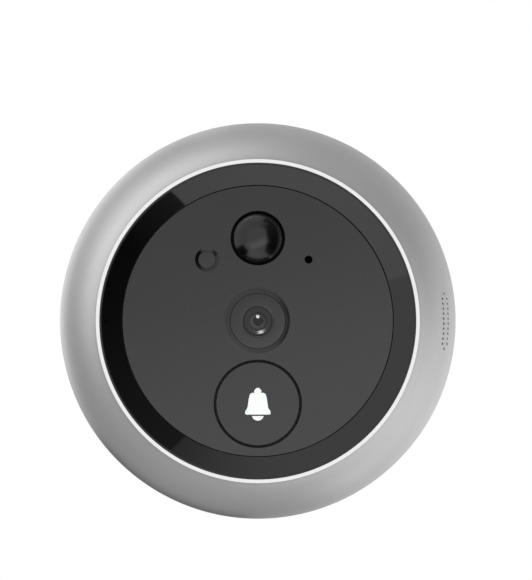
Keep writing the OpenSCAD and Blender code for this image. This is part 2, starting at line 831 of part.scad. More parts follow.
module bell_button() {
    color([0.09, 0.09, 0.09]) translate([0, button_y, 0]) difference() {
        union() {
            rotate_extrude() polygon([
                [0, button_base], [button_flange_r, button_base], [button_flange_r, button_stop],
                [button_r, button_stop], [button_r, panel_z - edge_break],
                [button_r - edge_break, panel_z], [0, panel_z]
            ]);
            for (side = [-1, 1]) translate([side * ear_x, 0, 0]) bar(ear_r, button_base, button_stop);
        }
        for (side = [-1, 1]) translate([side * ear_x, 0, 0]) hole(ear_hole_r, button_base, button_stop);
        bar(button_r - button_wall, button_base - cut, button_roof);
        translate([0, 0, button_roof - cut]) linear_extrude(button_face_t + 2 * cut)
            bell_outline(slip_gap);
    }
}

module bell_light_guide() {
    color("white") translate([0, button_y, 0]) {
        bar(button_r - button_wall - slip_gap, guide_base, guide_top);
        bar(guide_stem_d / 2, guide_foot, guide_top);
        translate([0, 0, guide_base]) linear_extrude(panel_z - guide_base) bell_outline(0);
    }
}

// A silicone dome seals the switch and pushes the button back
module return_dome() {
    foot_r = dome_d / 2;
    inner_r = foot_r - dome_foot_w;
    top_r = guide_stem_d / 2 + dome_wall;
    foot_top = board_top + dome_foot_t;
    roof = nub_base + nub_h;
    color("lightgray") translate([0, button_y, 0]) rotate_extrude() polygon([
        [0, nub_base], [plunger_d / 2, nub_base], [plunger_d / 2, roof], [top_r - dome_wall, roof],
        [inner_r, foot_top], [inner_r, board_top], [foot_r, board_top], [foot_r, foot_top],
        [inner_r + dome_wall, foot_top], [top_r, dome_top], [0, dome_top]
    ]);
}

module switch_body() {
    color("gainsboro") translate([0, button_y, 0]) difference() {
        block([switch_w, switch_w, switch_h], board_top);
        bar(plunger_d / 2 + slip_gap, board_top + switch_floor, board_top + switch_h + cut);
    }
}

module switch_plunger() {
    color("dimgray") translate([0, button_y, 0])
        bar(plunger_d / 2, board_top + switch_floor + button_travel + fit_gap, plunger_top);
}

module bell_leds() {
    x = switch_w / 2 + fit_gap + bell_led_w / 2;
    color("ivory") for (side = [-1, 1]) translate([side * x, button_y, 0])
        block([bell_led_w, bell_led_h, bell_led_t], board_top);
}

// Boards

module main_board() {
    color("darkgreen") translate([0, 0, board_back]) linear_extrude(board_t) difference() {
        circle(r = board_r);
        for (a = boss_angles) rotate(a) translate([boss_pc, 0]) circle(d = boss_d + 8 * fit_gap);
        for (a = post_angles) rotate(a) translate([post_pc, 0]) circle(d = board_hole_d);
        for (a = [45, 135, 270]) translate([0, pir_y]) rotate(a) translate([lead_circle_d / 2, 0])
            circle(d = lead_d + 2 * fit_gap);
        translate([board_notch_x, -speaker_w / 2]) square([board_r, speaker_w]);
    }
}

// Processor, memory, power chip and coil, on the back of the board
module board_chips() {
    chips = [
        [[-chips_x, (processor_w + chips_gap) / 2], [processor_w, processor_w, processor_t]],
        [[-chips_x, -(memory_h + chips_gap) / 2], [memory_w, memory_h, memory_t]],
        [[power_x, -power_y], [power_w, power_w, power_t]],
        [[power_x, power_y], [power_w, power_w, coil_t]]
    ];
    color([0.12, 0.12, 0.12]) for (chip = chips)
        translate([chip[0][0], chip[0][1], 0]) block(chip[1], board_back - chip[1][2]);
}

module board_screws() {
    color("gray") for (a = post_angles) rotate([0, 0, a]) translate([post_pc, 0, 0])
        screw(board_screw_d, board_screw_len, board_head_d, board_head_t, board_back);
}

module ir_leds() {
    base_h = ir_led_h / 2;
    color("lavender") for (a = lamp_angles) rotate([0, 0, a]) translate([post_pc, 0, 0]) {
        block([ir_led_w, ir_led_w, base_h], board_top);
        rotate_extrude() dome_section(ir_led_d / 2, base_h / 2, board_top, board_top + ir_led_h - base_h / 2);
    }
}

module cable_socket() {
    color("ivory") difference() {
        block([socket_w, socket_h, board_back - socket_mouth], socket_mouth);
        block([socket_w - 2 * socket_wall, socket_h - 2 * socket_wall,
            socket_floor - socket_mouth + cut], socket_mouth - cut);
    }
}

module socket_contacts_row() {
    pin_w = socket_pitch * 0.4;
    pin_l = (socket_floor - socket_mouth) * 0.75;
    color("gold") for (i = [0 : socket_contacts - 1])
        translate([0, (i - (socket_contacts - 1) / 2) * socket_pitch, 0])
            block([pin_w, pin_w, pin_l], socket_floor - pin_l);
}

// Speaker

// Everything on the speaker is drawn with z along its own axis and then turned to the right
module facing_right() {
    translate([0, 0, speaker_mid_z]) rotate([0, 90, 0]) children();
}

// A slot outline with round ends, as high as the speaker less a rim
module speaker_slot(rim) {
    h = speaker_h - 2 * rim;
    w = speaker_w - 2 * rim;
    square([h, w - h], center = true);
    for (side = [-1, 1]) translate([0, side * (w - h) / 2]) circle(d = h);
}

module speaker_frame() {
    color([0.1, 0.1, 0.1]) facing_right() difference() {
        block([speaker_h, speaker_w, speaker_t], speaker_rear);
        translate([0, 0, speaker_face - speaker_pocket]) linear_extrude(speaker_pocket + cut)
            speaker_slot(speaker_rim);
    }
}

module speaker_diaphragm() {
    color("dimgray") facing_right() {
        translate([0, 0, speaker_face - speaker_pocket]) linear_extrude(diaphragm_t)
            speaker_slot(speaker_rim + slip_gap);
        translate([0, 0, speaker_face - speaker_pocket]) linear_extrude(2 * diaphragm_t)
            speaker_slot(speaker_rim + diaphragm_step);
    }
}

module speaker_magnet() {
    color("silver") facing_right()
        block([speaker_h - 2 * speaker_rim, magnet_w, magnet_t], speaker_rear - magnet_t);
}

// Two wires bend from the back of the speaker up to the board
module speaker_wires() {
    bend = board_back - speaker_mid_z;
    y = (magnet_w / 2 + speaker_w / 2) / 2;
    color("firebrick") for (side = [-1, 1])
        translate([speaker_rear, side * y, board_back]) rotate([90, 0, 0])
            rotate([0, 0, 180]) rotate_extrude(angle = 90)
                translate([bend, 0]) circle(d = wire_d);
}

// Back

// Half section of the cover's plate, with the groove for its seal
module cover_section() {
    groove_low = (foam_t + cover_top - cord_d) / 2 - slip_gap;
    groove_high = groove_low + cord_d + 2 * slip_gap;
    polygon([
        [0, foam_t], [cover_r, foam_t], [cover_r, groove_low], [groove_r, groove_low],
        [groove_r, groove_high], [cover_r, groove_high], [cover_r, cover_top], [0, cover_top]
    ]);
}

// The neck's half section, chamfered at its end
module neck_section() {
    r = neck_d / 2;
    polygon([
        [0, -neck_len], [r - neck_chamfer, -neck_len], [r, neck_chamfer - neck_len],
        [r, foam_t + slip_gap], [0, foam_t + slip_gap]
    ]);
}

// Three walls that hold the speaker, with a gap for its wires
module speaker_cradle() {
    side_y = speaker_w / 2 + fit_gap;
    rear_x = speaker_rear - magnet_t - fit_gap;
    for (side = [-1, 1])
        translate([speaker_rear, side * (side_y + cradle_wall / 2) - cradle_wall / 2, cover_top - slip_gap])
            cube([speaker_t, cradle_wall, cradle_h + slip_gap]);
    translate([rear_x - cradle_wall, -magnet_w / 4, cover_top - slip_gap])
        cube([cradle_wall, magnet_w / 2, cradle_h + slip_gap]);
}

// A ring and rays stiffen the plate
module cover_ribs() {
    low = cover_top - slip_gap;
    high = cover_top + rib_h;
    ring(rib_ring_r, rib_ring_r + rib_t, low, high);
    for (a = rib_angles) rotate([0, 0, a]) translate([rib_ring_r + rib_t / 2, -rib_t / 2, low])
        cube([rib_end_r - rib_ring_r - rib_t / 2, rib_t, high - low]);
}

module rear_cover() {
    color([0.13, 0.13, 0.14]) difference() {
        union() {
            rotate_extrude() cover_section();
            rotate_extrude() neck_section();
            speaker_cradle();
            cover_ribs();
        }
        block([passage_w, passage_h, neck_len + cover_top + 2 * cut], -neck_len - cut);
        for (side = [-1, 1]) translate([side * clamp_x, 0, 0])
            bar(insert_d / 2 + slip_gap / 2, -neck_len - cut, insert_len - neck_len);
        for (a = boss_angles) rotate([0, 0, a]) translate([boss_pc, 0, 0]) {
            hole(cover_screw_d / 2 + fit_gap, foam_t, cover_top);
            bar(cover_head_bore_d / 2, foam_t - cut, foam_t + cover_head_sink + cover_head_t);
        }
    }
}

module rear_seal() {
    color("black") translate([0, 0, (foam_t + cover_top) / 2]) rotate_extrude()
        translate([cavity_r - slip_gap - cord_d / 2, 0]) circle(d = cord_d);
}

module cover_screws() {
    color("gray") for (a = boss_angles) rotate([0, 0, a]) translate([boss_pc, 0, 0])
        screw(cover_screw_d, cover_screw_len, cover_head_d, cover_head_t,
            foam_t + cover_head_sink + cover_head_t);
}

// Half section of a threaded insert: two knurled bands with a waist between them
module insert_section() {
    r = insert_d / 2;
    waist = 0.25;
    band = insert_len / 3;
    polygon([
        [insert_bore_d / 2, 0], [r, 0], [r, band], [r - waist, band + waist],
        [r - waist, insert_len - band - waist], [r, insert_len - band], [r, insert_len],
        [insert_bore_d / 2, insert_len]
    ]);
}

module clamp_inserts() {
    color("goldenrod") for (side = [-1, 1])
        translate([side * clamp_x, 0, -neck_len]) rotate_extrude() insert_section();
}

module foam_pad() {
    color("dimgray") ring(foam_in_r, foam_out_r, 0, foam_t);
}

// Turns the unit upright: the front looks along -Y and the top is +Z
module upright() {
    rotate([90, 0, 0]) children();
}

upright() housing();
upright() gloss_ring();
upright() ring_seal();
upright() front_panel();
upright() sound_membrane();
upright() pir_lens();
upright() pir_can();
upright() pir_filter();
upright() light_pipe();
upright() light_sensor();
upright() mic_boot();
upright() microphone();
upright() camera_window();
upright() lens_shroud();
upright() lens_barrel();
upright() front_lens();
upright() rear_lens();
upright() lens_holder();
upright() ir_filter();
upright() image_sensor();
upright() bell_button();
upright() bell_light_guide();
upright() return_dome();
upright() switch_body();
upright() switch_plunger();
upright() bell_leds();
upright() main_board();
upright() board_chips();
upright() board_screws();
upright() ir_leds();
upright() cable_socket();
upright() socket_contacts_row();
upright() speaker_frame();
upright() speaker_diaphragm();
upright() speaker_magnet();
upright() speaker_wires();
upright() rear_cover();
upright() rear_seal();
upright() cover_screws();
upright() clamp_inserts();
upright() foam_pad();
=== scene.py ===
from math import acos, asin, cos, degrees, hypot, pi, radians, sin, tan

import bpy
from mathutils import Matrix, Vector


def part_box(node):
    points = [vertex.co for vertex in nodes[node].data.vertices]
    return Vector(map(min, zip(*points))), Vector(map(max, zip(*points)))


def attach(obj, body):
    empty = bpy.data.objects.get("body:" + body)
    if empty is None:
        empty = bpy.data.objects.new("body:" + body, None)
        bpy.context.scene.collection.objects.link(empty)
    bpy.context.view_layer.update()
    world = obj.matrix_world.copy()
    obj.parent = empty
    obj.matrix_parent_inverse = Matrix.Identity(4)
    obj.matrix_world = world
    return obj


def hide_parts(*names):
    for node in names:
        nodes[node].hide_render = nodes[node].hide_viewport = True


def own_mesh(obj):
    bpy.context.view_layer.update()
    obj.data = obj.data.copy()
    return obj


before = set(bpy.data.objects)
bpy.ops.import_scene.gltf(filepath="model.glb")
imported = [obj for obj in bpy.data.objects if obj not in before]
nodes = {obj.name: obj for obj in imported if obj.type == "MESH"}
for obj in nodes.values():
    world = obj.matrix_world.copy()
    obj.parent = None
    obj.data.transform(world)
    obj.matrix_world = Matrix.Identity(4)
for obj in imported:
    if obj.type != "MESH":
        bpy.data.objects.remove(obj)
scene = bpy.context.scene
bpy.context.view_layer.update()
mm = 0.001
mergeWithin = 1e-7   # metres within which two points are one
print("frame loaded,", len(nodes), "nodes")


# Small helpers for nodes and colours

# sRGB hex to the linear colour that a socket takes
def linear(hexColour):
    parts = [int(hexColour[i:i + 2], 16) / 255 for i in (1, 3, 5)]
    return [p / 12.92 if p <= 0.04045 else ((p + 0.055) / 1.055) ** 2.4 for p in parts] + [1.0]


# adds one node, sets its options and values, and links what feeds it
def addNode(tree, kind, options=None, values=None, links=None):
    node = tree.nodes.new("ShaderNode" + kind)
    for key, value in (options or {}).items():
        setattr(node, key, value)
    for key, value in (values or {}).items():
        node.inputs[key].default_value = value
    for key, socket in (links or {}).items():
        tree.links.new(socket, node.inputs[key])
    return node


# an empty material, its node tree and the object coordinates that its patterns read
def startMaterial(name):
    material = bpy.data.materials.new(name)
    material.use_nodes = True
    tree = material.node_tree
    tree.nodes.clear()
    return material, tree, addNode(tree, "TexCoord").outputs["Object"]


# makes one object the only selected and active one
def pickOnly(piece):
    bpy.ops.object.select_all(action="DESELECT")
    piece.select_set(True)
    bpy.context.view_layer.objects.active = piece


# draws a line of points as by extruding one vertex, and leaves the new mesh open in edit mode
def drawLine(name, points, closed):
    bpy.ops.mesh.primitive_plane_add(size=mm)
    piece = bpy.context.object
    piece.name = piece.data.name = name
    bpy.ops.object.mode_set(mode="EDIT")
    bpy.ops.mesh.merge(type="CENTER")
    bpy.ops.transform.translate(value=points[0])
    for here, there in zip(points, points[1:] + points[:1] if closed else points[1:]):
        bpy.ops.mesh.extrude_vertices_move(TRANSFORM_OT_translate={"value": there - here})
    bpy.ops.mesh.select_all(action="SELECT")
    bpy.ops.mesh.remove_doubles(threshold=mergeWithin)
    return piece


# Camera, straight on, far enough away to look flat
view = {
    "frame": (532, 580),
    "middle": (257.8, 321.1),   # the unit's axis in the frame, in pixels
    "bodyPixels": 397.1,         # width of the housing in the frame
    "distance": 1.5,
    "sensor": 36.0,
}
bodyLow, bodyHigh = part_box("housing")
bodyRadius = bodyHigh.z
rimFront = -bodyLow.y
perPixel = 2 * bodyRadius / view["bodyPixels"]
camera = bpy.data.cameras.new("camera")
camera.sensor_width = view["sensor"]
camera.lens = view["sensor"] * view["distance"] / (perPixel * view["frame"][1])
cameraObject = bpy.data.objects.new("camera", camera)
cameraObject.location = (
    (view["frame"][0] / 2 - view["middle"][0]) * perPixel,
    -view["distance"] - rimFront,
    (view["middle"][1] - view["frame"][1] / 2) * perPixel,
)
cameraObject.rotation_euler = (radians(90), 0, 0)
scene.collection.objects.link(cameraObject)
scene.camera = cameraObject
scene.view_settings.view_transform = "Standard"
print("camera placed")


# Studio: a white room, a pale floor, one soft lamp, and cards that only reflections see

studio = {
    "roomFill": 0.55,       # light of the room on matt surfaces
    "floorDrop": 0.15,
    "floorWidth": 2.4,
    "lampPlace": (0.35, -0.9, 0.75),
    "lampWidth": 0.8,
    "lampPower": 9.0,
    "cardSteps": 72,        # facets of a bent card
    "glowRadius": 0.078,
}


# a share that is 1 for every ray that should see the white of the room
def showsWhite(tree, kinds):
    path = addNode(tree, "LightPath").outputs
    share = path[kinds[0]]
    for kind in kinds[1:]:
        share = addNode(tree, "Math", {"operation": "MAXIMUM"}, links={0: share, 1: path[kind]}).outputs[0]
    return share


def paintWorld():
    world = bpy.data.worlds.new("studio")
    scene.world = world
    world.use_nodes = True
    world.cycles.sampling_method = "NONE"   # the room is even, so its rays need no aiming
    tree = world.node_tree
    tree.nodes.clear()
    seen = showsWhite(tree, ["Is Camera Ray", "Is Glossy Ray", "Is Transmission Ray"])
    fill = addNode(tree, "Background", values={"Color": linear("#FFFFFF"), "Strength": studio["roomFill"]})
    white = addNode(tree, "Background", values={"Color": linear("#FFFFFF"), "Strength": 1.0})
    room = addNode(tree, "MixShader", links={0: seen, 1: fill.outputs[0], 2: white.outputs[0]})
    addNode(tree, "OutputWorld", links={"Surface": room.outputs[0]})


def layFloor():
    bpy.ops.mesh.primitive_plane_add(size=studio["floorWidth"],
                                     location=(0, 0, bodyLow.z - studio["floorDrop"]))
    floor = bpy.context.object
    floor.name = "floor"
    material, tree, _ = startMaterial("paleFloor")
    seen = showsWhite(tree, ["Is Glossy Ray", "Is Transmission Ray"])
    paint = addNode(tree, "BsdfPrincipled", values={"Base Color": linear("#F2F2F0"), "Roughness": 0.8})
    white = addNode(tree, "Emission", values={"Color": linear("#FFFFFF"), "Strength": 1.0})
    top = addNode(tree, "MixShader", links={0: seen, 1: paint.outputs[0], 2: white.outputs[0]})
    addNode(tree, "OutputMaterial", links={"Surface": top.outputs[0]})
    floor.data.materials.append(material)


# one soft lamp for the matt surfaces; the cards below make the reflections
def hangLamp():
    lamp = bpy.data.lights.new("softLamp", "AREA")
    lamp.size = studio["lampWidth"]
    lamp.energy = studio["lampPower"]
    lampObject = bpy.data.objects.new("softLamp", lamp)
    lampObject.location = studio["lampPlace"]
    lampObject.rotation_euler = (-Vector(studio["lampPlace"])).to_track_quat("-Z", "Y").to_euler()
    lampObject.visible_glossy = False
    scene.collection.objects.link(lampObject)


# a point round the unit: azimuth from the right towards the top, polar angle from the camera's side
def around(azimuth, polar, radius):
    a, p = radians(azimuth), radians(polar)
    return Vector((radius * cos(a), -radius / tan(p), radius * sin(a)))


# paint of one level, or whose brightness follows stops, of azimuth in degrees or of mm along a direction;
# clear paint adds to what is behind it
def cardPaint(name, card):
    stops = card.get("stops") or [(-180, card["level"]), (180, card["level"])]
    material, tree, place = startMaterial(name)
    if "along" in card:
        where = addNode(tree, "VectorMath", {"operation": "DOT_PRODUCT"},
                        {1: card["along"]}, {0: place}).outputs["Value"]
        first, last, unit = stops[0][0], stops[-1][0], mm
    else:
        axes = addNode(tree, "SeparateXYZ", links={0: place}).outputs
        where = addNode(tree, "Math", {"operation": "ARCTAN2"}, links={0: axes["Z"], 1: axes["X"]}).outputs[0]
        first, last, unit = -180, 180, radians(1)
    share = addNode(tree, "MapRange", values={"From Min": first * unit, "From Max": last * unit},
                    links={"Value": where})
    ramp = addNode(tree, "ValToRGB", links={"Fac": share.outputs[0]})
    brightest = max(level for _, level in stops)
    marks = ramp.color_ramp.elements
    marks.remove(marks[1])
    for count, (stop, level) in enumerate(stops):
        mark = marks.new((stop - first) / (last - first)) if count else marks[0]
        mark.position = (stop - first) / (last - first)
        mark.color = [level / brightest] * 3 + [1.0]
    shine = addNode(tree, "Emission", values={"Strength": brightest}, links={"Color": ramp.outputs["Color"]})
    if card.get("clear"):
        film = addNode(tree, "BsdfTransparent")
        shine = addNode(tree, "AddShader", links={0: shine.outputs[0], 1: film.outputs[0]})
    addNode(tree, "OutputMaterial", links={"Surface": shine.outputs[0]})
    return material


# hangs a card that only reflections see, or only those of the receivers if some are given
def hangCard(sheet, card, receivers):
    bpy.ops.object.mode_set(mode="OBJECT")
    sheet.data.materials.append(cardPaint(sheet.name, card))
    sheet.visible_camera = sheet.visible_diffuse = False
    sheet.visible_transmission = sheet.visible_shadow = False
    if receivers:
        sheet.light_linking.receiver_collection = receivers


# a card bent round the unit's axis
def bendCard(name, card, receivers=None):
    azimuths = card["azimuths"]
    sheet = drawLine(name, [around(azimuths[0], polar, card["radius"]) for polar in card["polars"]], False)
    bpy.ops.mesh.spin(steps=studio["cardSteps"], angle=radians(azimuths[1] - azimuths[0]),
                      center=(0, 0, 0), axis=(0, 1, 0))
    hangCard(sheet, card, receivers)


# a flat card: an edge between two points in metres, pulled along a third
def flatCard(name, card, receivers=None):
    sheet = drawLine(name, [Vector(point) for point in card["edge"]], False)
    bpy.ops.mesh.extrude_edges_move(TRANSFORM_OT_translate={"value": card["pull"]})
    hangCard(sheet, card, receivers)


paintWorld()
layFloor()
hangLamp()
# the pieces that take light from the cards of the rim, the panel, the lens and its barrel
groups = ("rimOnly", "faceOnly", "lensOnly", "barrelOnly")
rimOnly, faceOnly, lensOnly, barrelOnly = (bpy.data.collections.new(group) for group in groups)
# the wrap gives the gloss ring its paler top and bottom
bendCard("wrapCard", {
    "azimuths": (56, 303), "polars": (37, 58), "radius": 0.165,
    "stops": [(-180, 0.86), (-163, 0.86), (-162, 1.12), (-120, 1.18), (-90, 1.16), (-57, 1.0),
              (56, 0.36), (60, 0.4), (75, 0.62), (90, 0.8), (105, 0.86), (180, 0.86)]})
# the tall flag on the right darkens the left of the gloss ring and the right of the motion sensor
flatCard("sideFlag", {
    "edge": [(0.0803, -0.1606, -0.178), (0.15, -0.0634, -0.178)], "pull": (0, 0, 0.5),
    "stops": [(-180, 0.11), (-57, 0.11), (-30, 0.0), (0, 0.02), (30, 0.07), (59, 0.13), (180, 0.13)]})
# a greyer strip past the flag dims the motion sensor's right edge
flatCard("edgeFlag", {
    "edge": [(0.15, -0.0632, -0.178), (0.162, -0.04, -0.178)], "pull": (0, 0, 0.5), "level": 0.35})
# two low flags darken the foot of the motion sensor; the rim sees them white
bendCard("cornerFlag", {
    "azimuths": (199, 233), "polars": (47, 78), "radius": 0.15, "level": 0.95}, rimOnly)
bendCard("footFlag", {
    "azimuths": (233, 303), "polars": (65, 78), "radius": 0.15, "level": 0.95}, rimOnly)
# the card before the panel brightens its lower part, with a soft slanting edge
flatCard("faceCard", {
    "edge": [(-0.061, -0.1065, -0.003), (0.052, -0.1065, 0.039)], "pull": (0.019, 0, -0.052), "clear": True,
    "along": (0.342, 0, -0.94), "stops": [(-11, 0.0), (15, 0.62), (60, 0.62)]}, faceOnly)
# glows for the rim: its inner edge, its shoulder and its sides
rimGlows = {   # name: azimuths, polar angles, stops
    "frontGlow": ((-180, 180), (11, 41.5), [
        (-180, 2.4), (-168, 0.7), (-155, 0.0), (-75, 0.0), (-60, 0.3), (-45, 1.55), (-30, 1.95), (-15, 1.75),
        (0, 1.05), (15, 0.15), (30, 0.0), (75, 0.0), (82, 0.6), (90, 1.4), (105, 2.8), (120, 3.4),
        (135, 3.75), (150, 3.75), (165, 3.35), (180, 2.4)]),
    "sideGlow": ((-180, 180), (41.5, 73.5), [
        (-180, 0.1), (-165, 0.0), (-90, 0.0), (-75, 0.3), (-58, 1.8), (-45, 2.4), (-30, 2.55), (-15, 2.35),
        (0, 1.95), (15, 1.5), (30, 1.15), (59, 1.05), (75, 0.6), (90, 0.45), (120, 0.8), (135, 0.9),
        (150, 0.9), (165, 0.55), (180, 0.1)]),
    "backGlow": ((-90, 110), (79.5, 120), [
        (-180, 0.0), (-90, 0.0), (-75, 0.25), (-60, 0.85), (-45, 1.35), (-30, 1.65), (-15, 1.6), (0, 1.4),
        (30, 0.75), (45, 0.6), (90, 0.5), (110, 0.55), (180, 0.55)]),
    "leftGlow": ((95, 215), (90, 131), [
        (-180, 2.2), (-165, 1.7), (-155, 0.6), (-145, 0.0), (95, 0.0), (110, 0.9), (135, 2.1), (150, 2.3),
        (180, 2.2)]),
}
for name, (azimuths, polars, stops) in rimGlows.items():
    bendCard(name, {"azimuths": azimuths, "polars": polars, "radius": studio["glowRadius"], "clear": True,
                    "stops": stops}, rimOnly)
# a flag behind the unit darkens the lower left edge of the rim
bendCard("backFlag", {
    "azimuths": (217, 268), "polars": (109, 165), "radius": 0.15, "level": 0.02})
# two small cards make the bright points in the camera
bendCard("lensCard", {
    "azimuths": (69, 111), "polars": (16, 34), "radius": 0.15, "clear": True, "level": 22.0}, lensOnly)
bendCard("ringCard", {
    "azimuths": (95, 116), "polars": (16, 29), "radius": 0.14, "clear": True, "level": 16.0}, barrelOnly)
print("studio set")


# Materials, each named for what it is and how its surface was made

# Fine noise for the grain and broad noise for the tone, in object space, on a principled surface;
# settings with a capital go straight to the sockets of that surface
def grained(name, look):
    material, tree, place = startMaterial(name)
    patches = addNode(tree, "TexNoise", values={"Scale": 1 / (look["patch"] * mm), "Detail": 2.0},
                      links={"Vector": place})
    grain = addNode(tree, "TexNoise", values={"Scale": 1 / (look["grain"] * mm), "Detail": 3.0},
                    links={"Vector": place})
    tone = addNode(tree, "Mix", {"data_type": "RGBA"}, {6: linear(look["colour"]), 7: linear(look["shade"])},
                   {0: patches.outputs["Fac"]})
    gloss = addNode(tree, "MapRange", values={"To Min": look["roughness"][0], "To Max": look["roughness"][1]},
                    links={"Value": grain.outputs["Fac"]})
    bump = addNode(tree, "Bump", values={"Distance": look.get("relief", 0.0) * mm},
                   links={"Height": grain.outputs["Fac"]})
    sockets = {key: look[key] for key in look if key[0].isupper()}
    surface = addNode(tree, "BsdfPrincipled", values=sockets, links={
        "Base Color": tone.outputs[2], "Roughness": gloss.outputs[0], "Normal": bump.outputs[0]})
    addNode(tree, "OutputMaterial", links={"Surface": surface.outputs[0]})
    return material


# Turned and anodised aluminium: fine rings from the lathe spread light across them, so a lamp shows as a fan
def turnedAluminium():
    # the edge grey is painted shade: a darker band over the rim's innermost 0.4 mm, beside the bright chamfer
    look = {"colour": "#8D8D8D", "edge": "#868686", "paintedShadeFrom": 26.2, "paintedShadeTo": 26.6,
            "roughness": (0.40, 0.46), "anisotropy": 0.8,
            "ringPitch": 0.25, "ringReach": 3.0, "relief": 0.0004}   # rings drawn coarser than real, to show
    material, tree, place = startMaterial("turnedAluminium")
    axes = addNode(tree, "SeparateXYZ", links={0: place}).outputs
    outward = addNode(tree, "CombineXYZ", links={"X": axes["X"], "Z": axes["Z"]}).outputs[0]
    radius = addNode(tree, "VectorMath", {"operation": "LENGTH"}, links={0: outward}).outputs["Value"]
    along = addNode(tree, "Math", {"operation": "ADD"}, links={0: radius, 1: axes["Y"]}).outputs[0]
    rings = addNode(tree, "Math", {"operation": "DIVIDE"}, {1: look["ringPitch"] * mm}, {0: along}).outputs[0]
    rings = addNode(tree, "CombineXYZ", links={"Y": rings}).outputs[0]
    sweep = addNode(tree, "VectorMath", {"operation": "NORMALIZE"}, links={0: outward}).outputs[0]
    sweep = addNode(tree, "VectorMath", {"operation": "MULTIPLY_ADD"},
                    {1: [look["ringReach"]] * 3}, {0: sweep, 2: rings}).outputs[0]
    lines = addNode(tree, "TexNoise", values={"Scale": 1.0, "Detail": 2.0},
                    links={"Vector": sweep}).outputs["Fac"]
    gloss = addNode(tree, "MapRange", values={"To Min": look["roughness"][0], "To Max": look["roughness"][1]},
                    links={"Value": lines}).outputs[0]
    bump = addNode(tree, "Bump", values={"Distance": look["relief"] * mm}, links={"Height": lines}).outputs[0]
    # painted shade: the grey darkens towards the rim's inner edge
    past = addNode(tree, "MapRange", links={"Value": radius}, values={
        "From Min": look["paintedShadeFrom"] * mm, "From Max": look["paintedShadeTo"] * mm}).outputs[0]
    tone = addNode(tree, "Mix", {"data_type": "RGBA"}, {6: linear(look["edge"]), 7: linear(look["colour"])},
                   {0: past})
    surface = addNode(tree, "BsdfPrincipled", values={"Metallic": 1.0, "Anisotropic": look["anisotropy"]},
                      links={"Base Color": tone.outputs[2], "Roughness": gloss,
                             "Normal": bump, "Tangent": outward})
    addNode(tree, "OutputMaterial", links={"Surface": surface.outputs[0]})
    return material


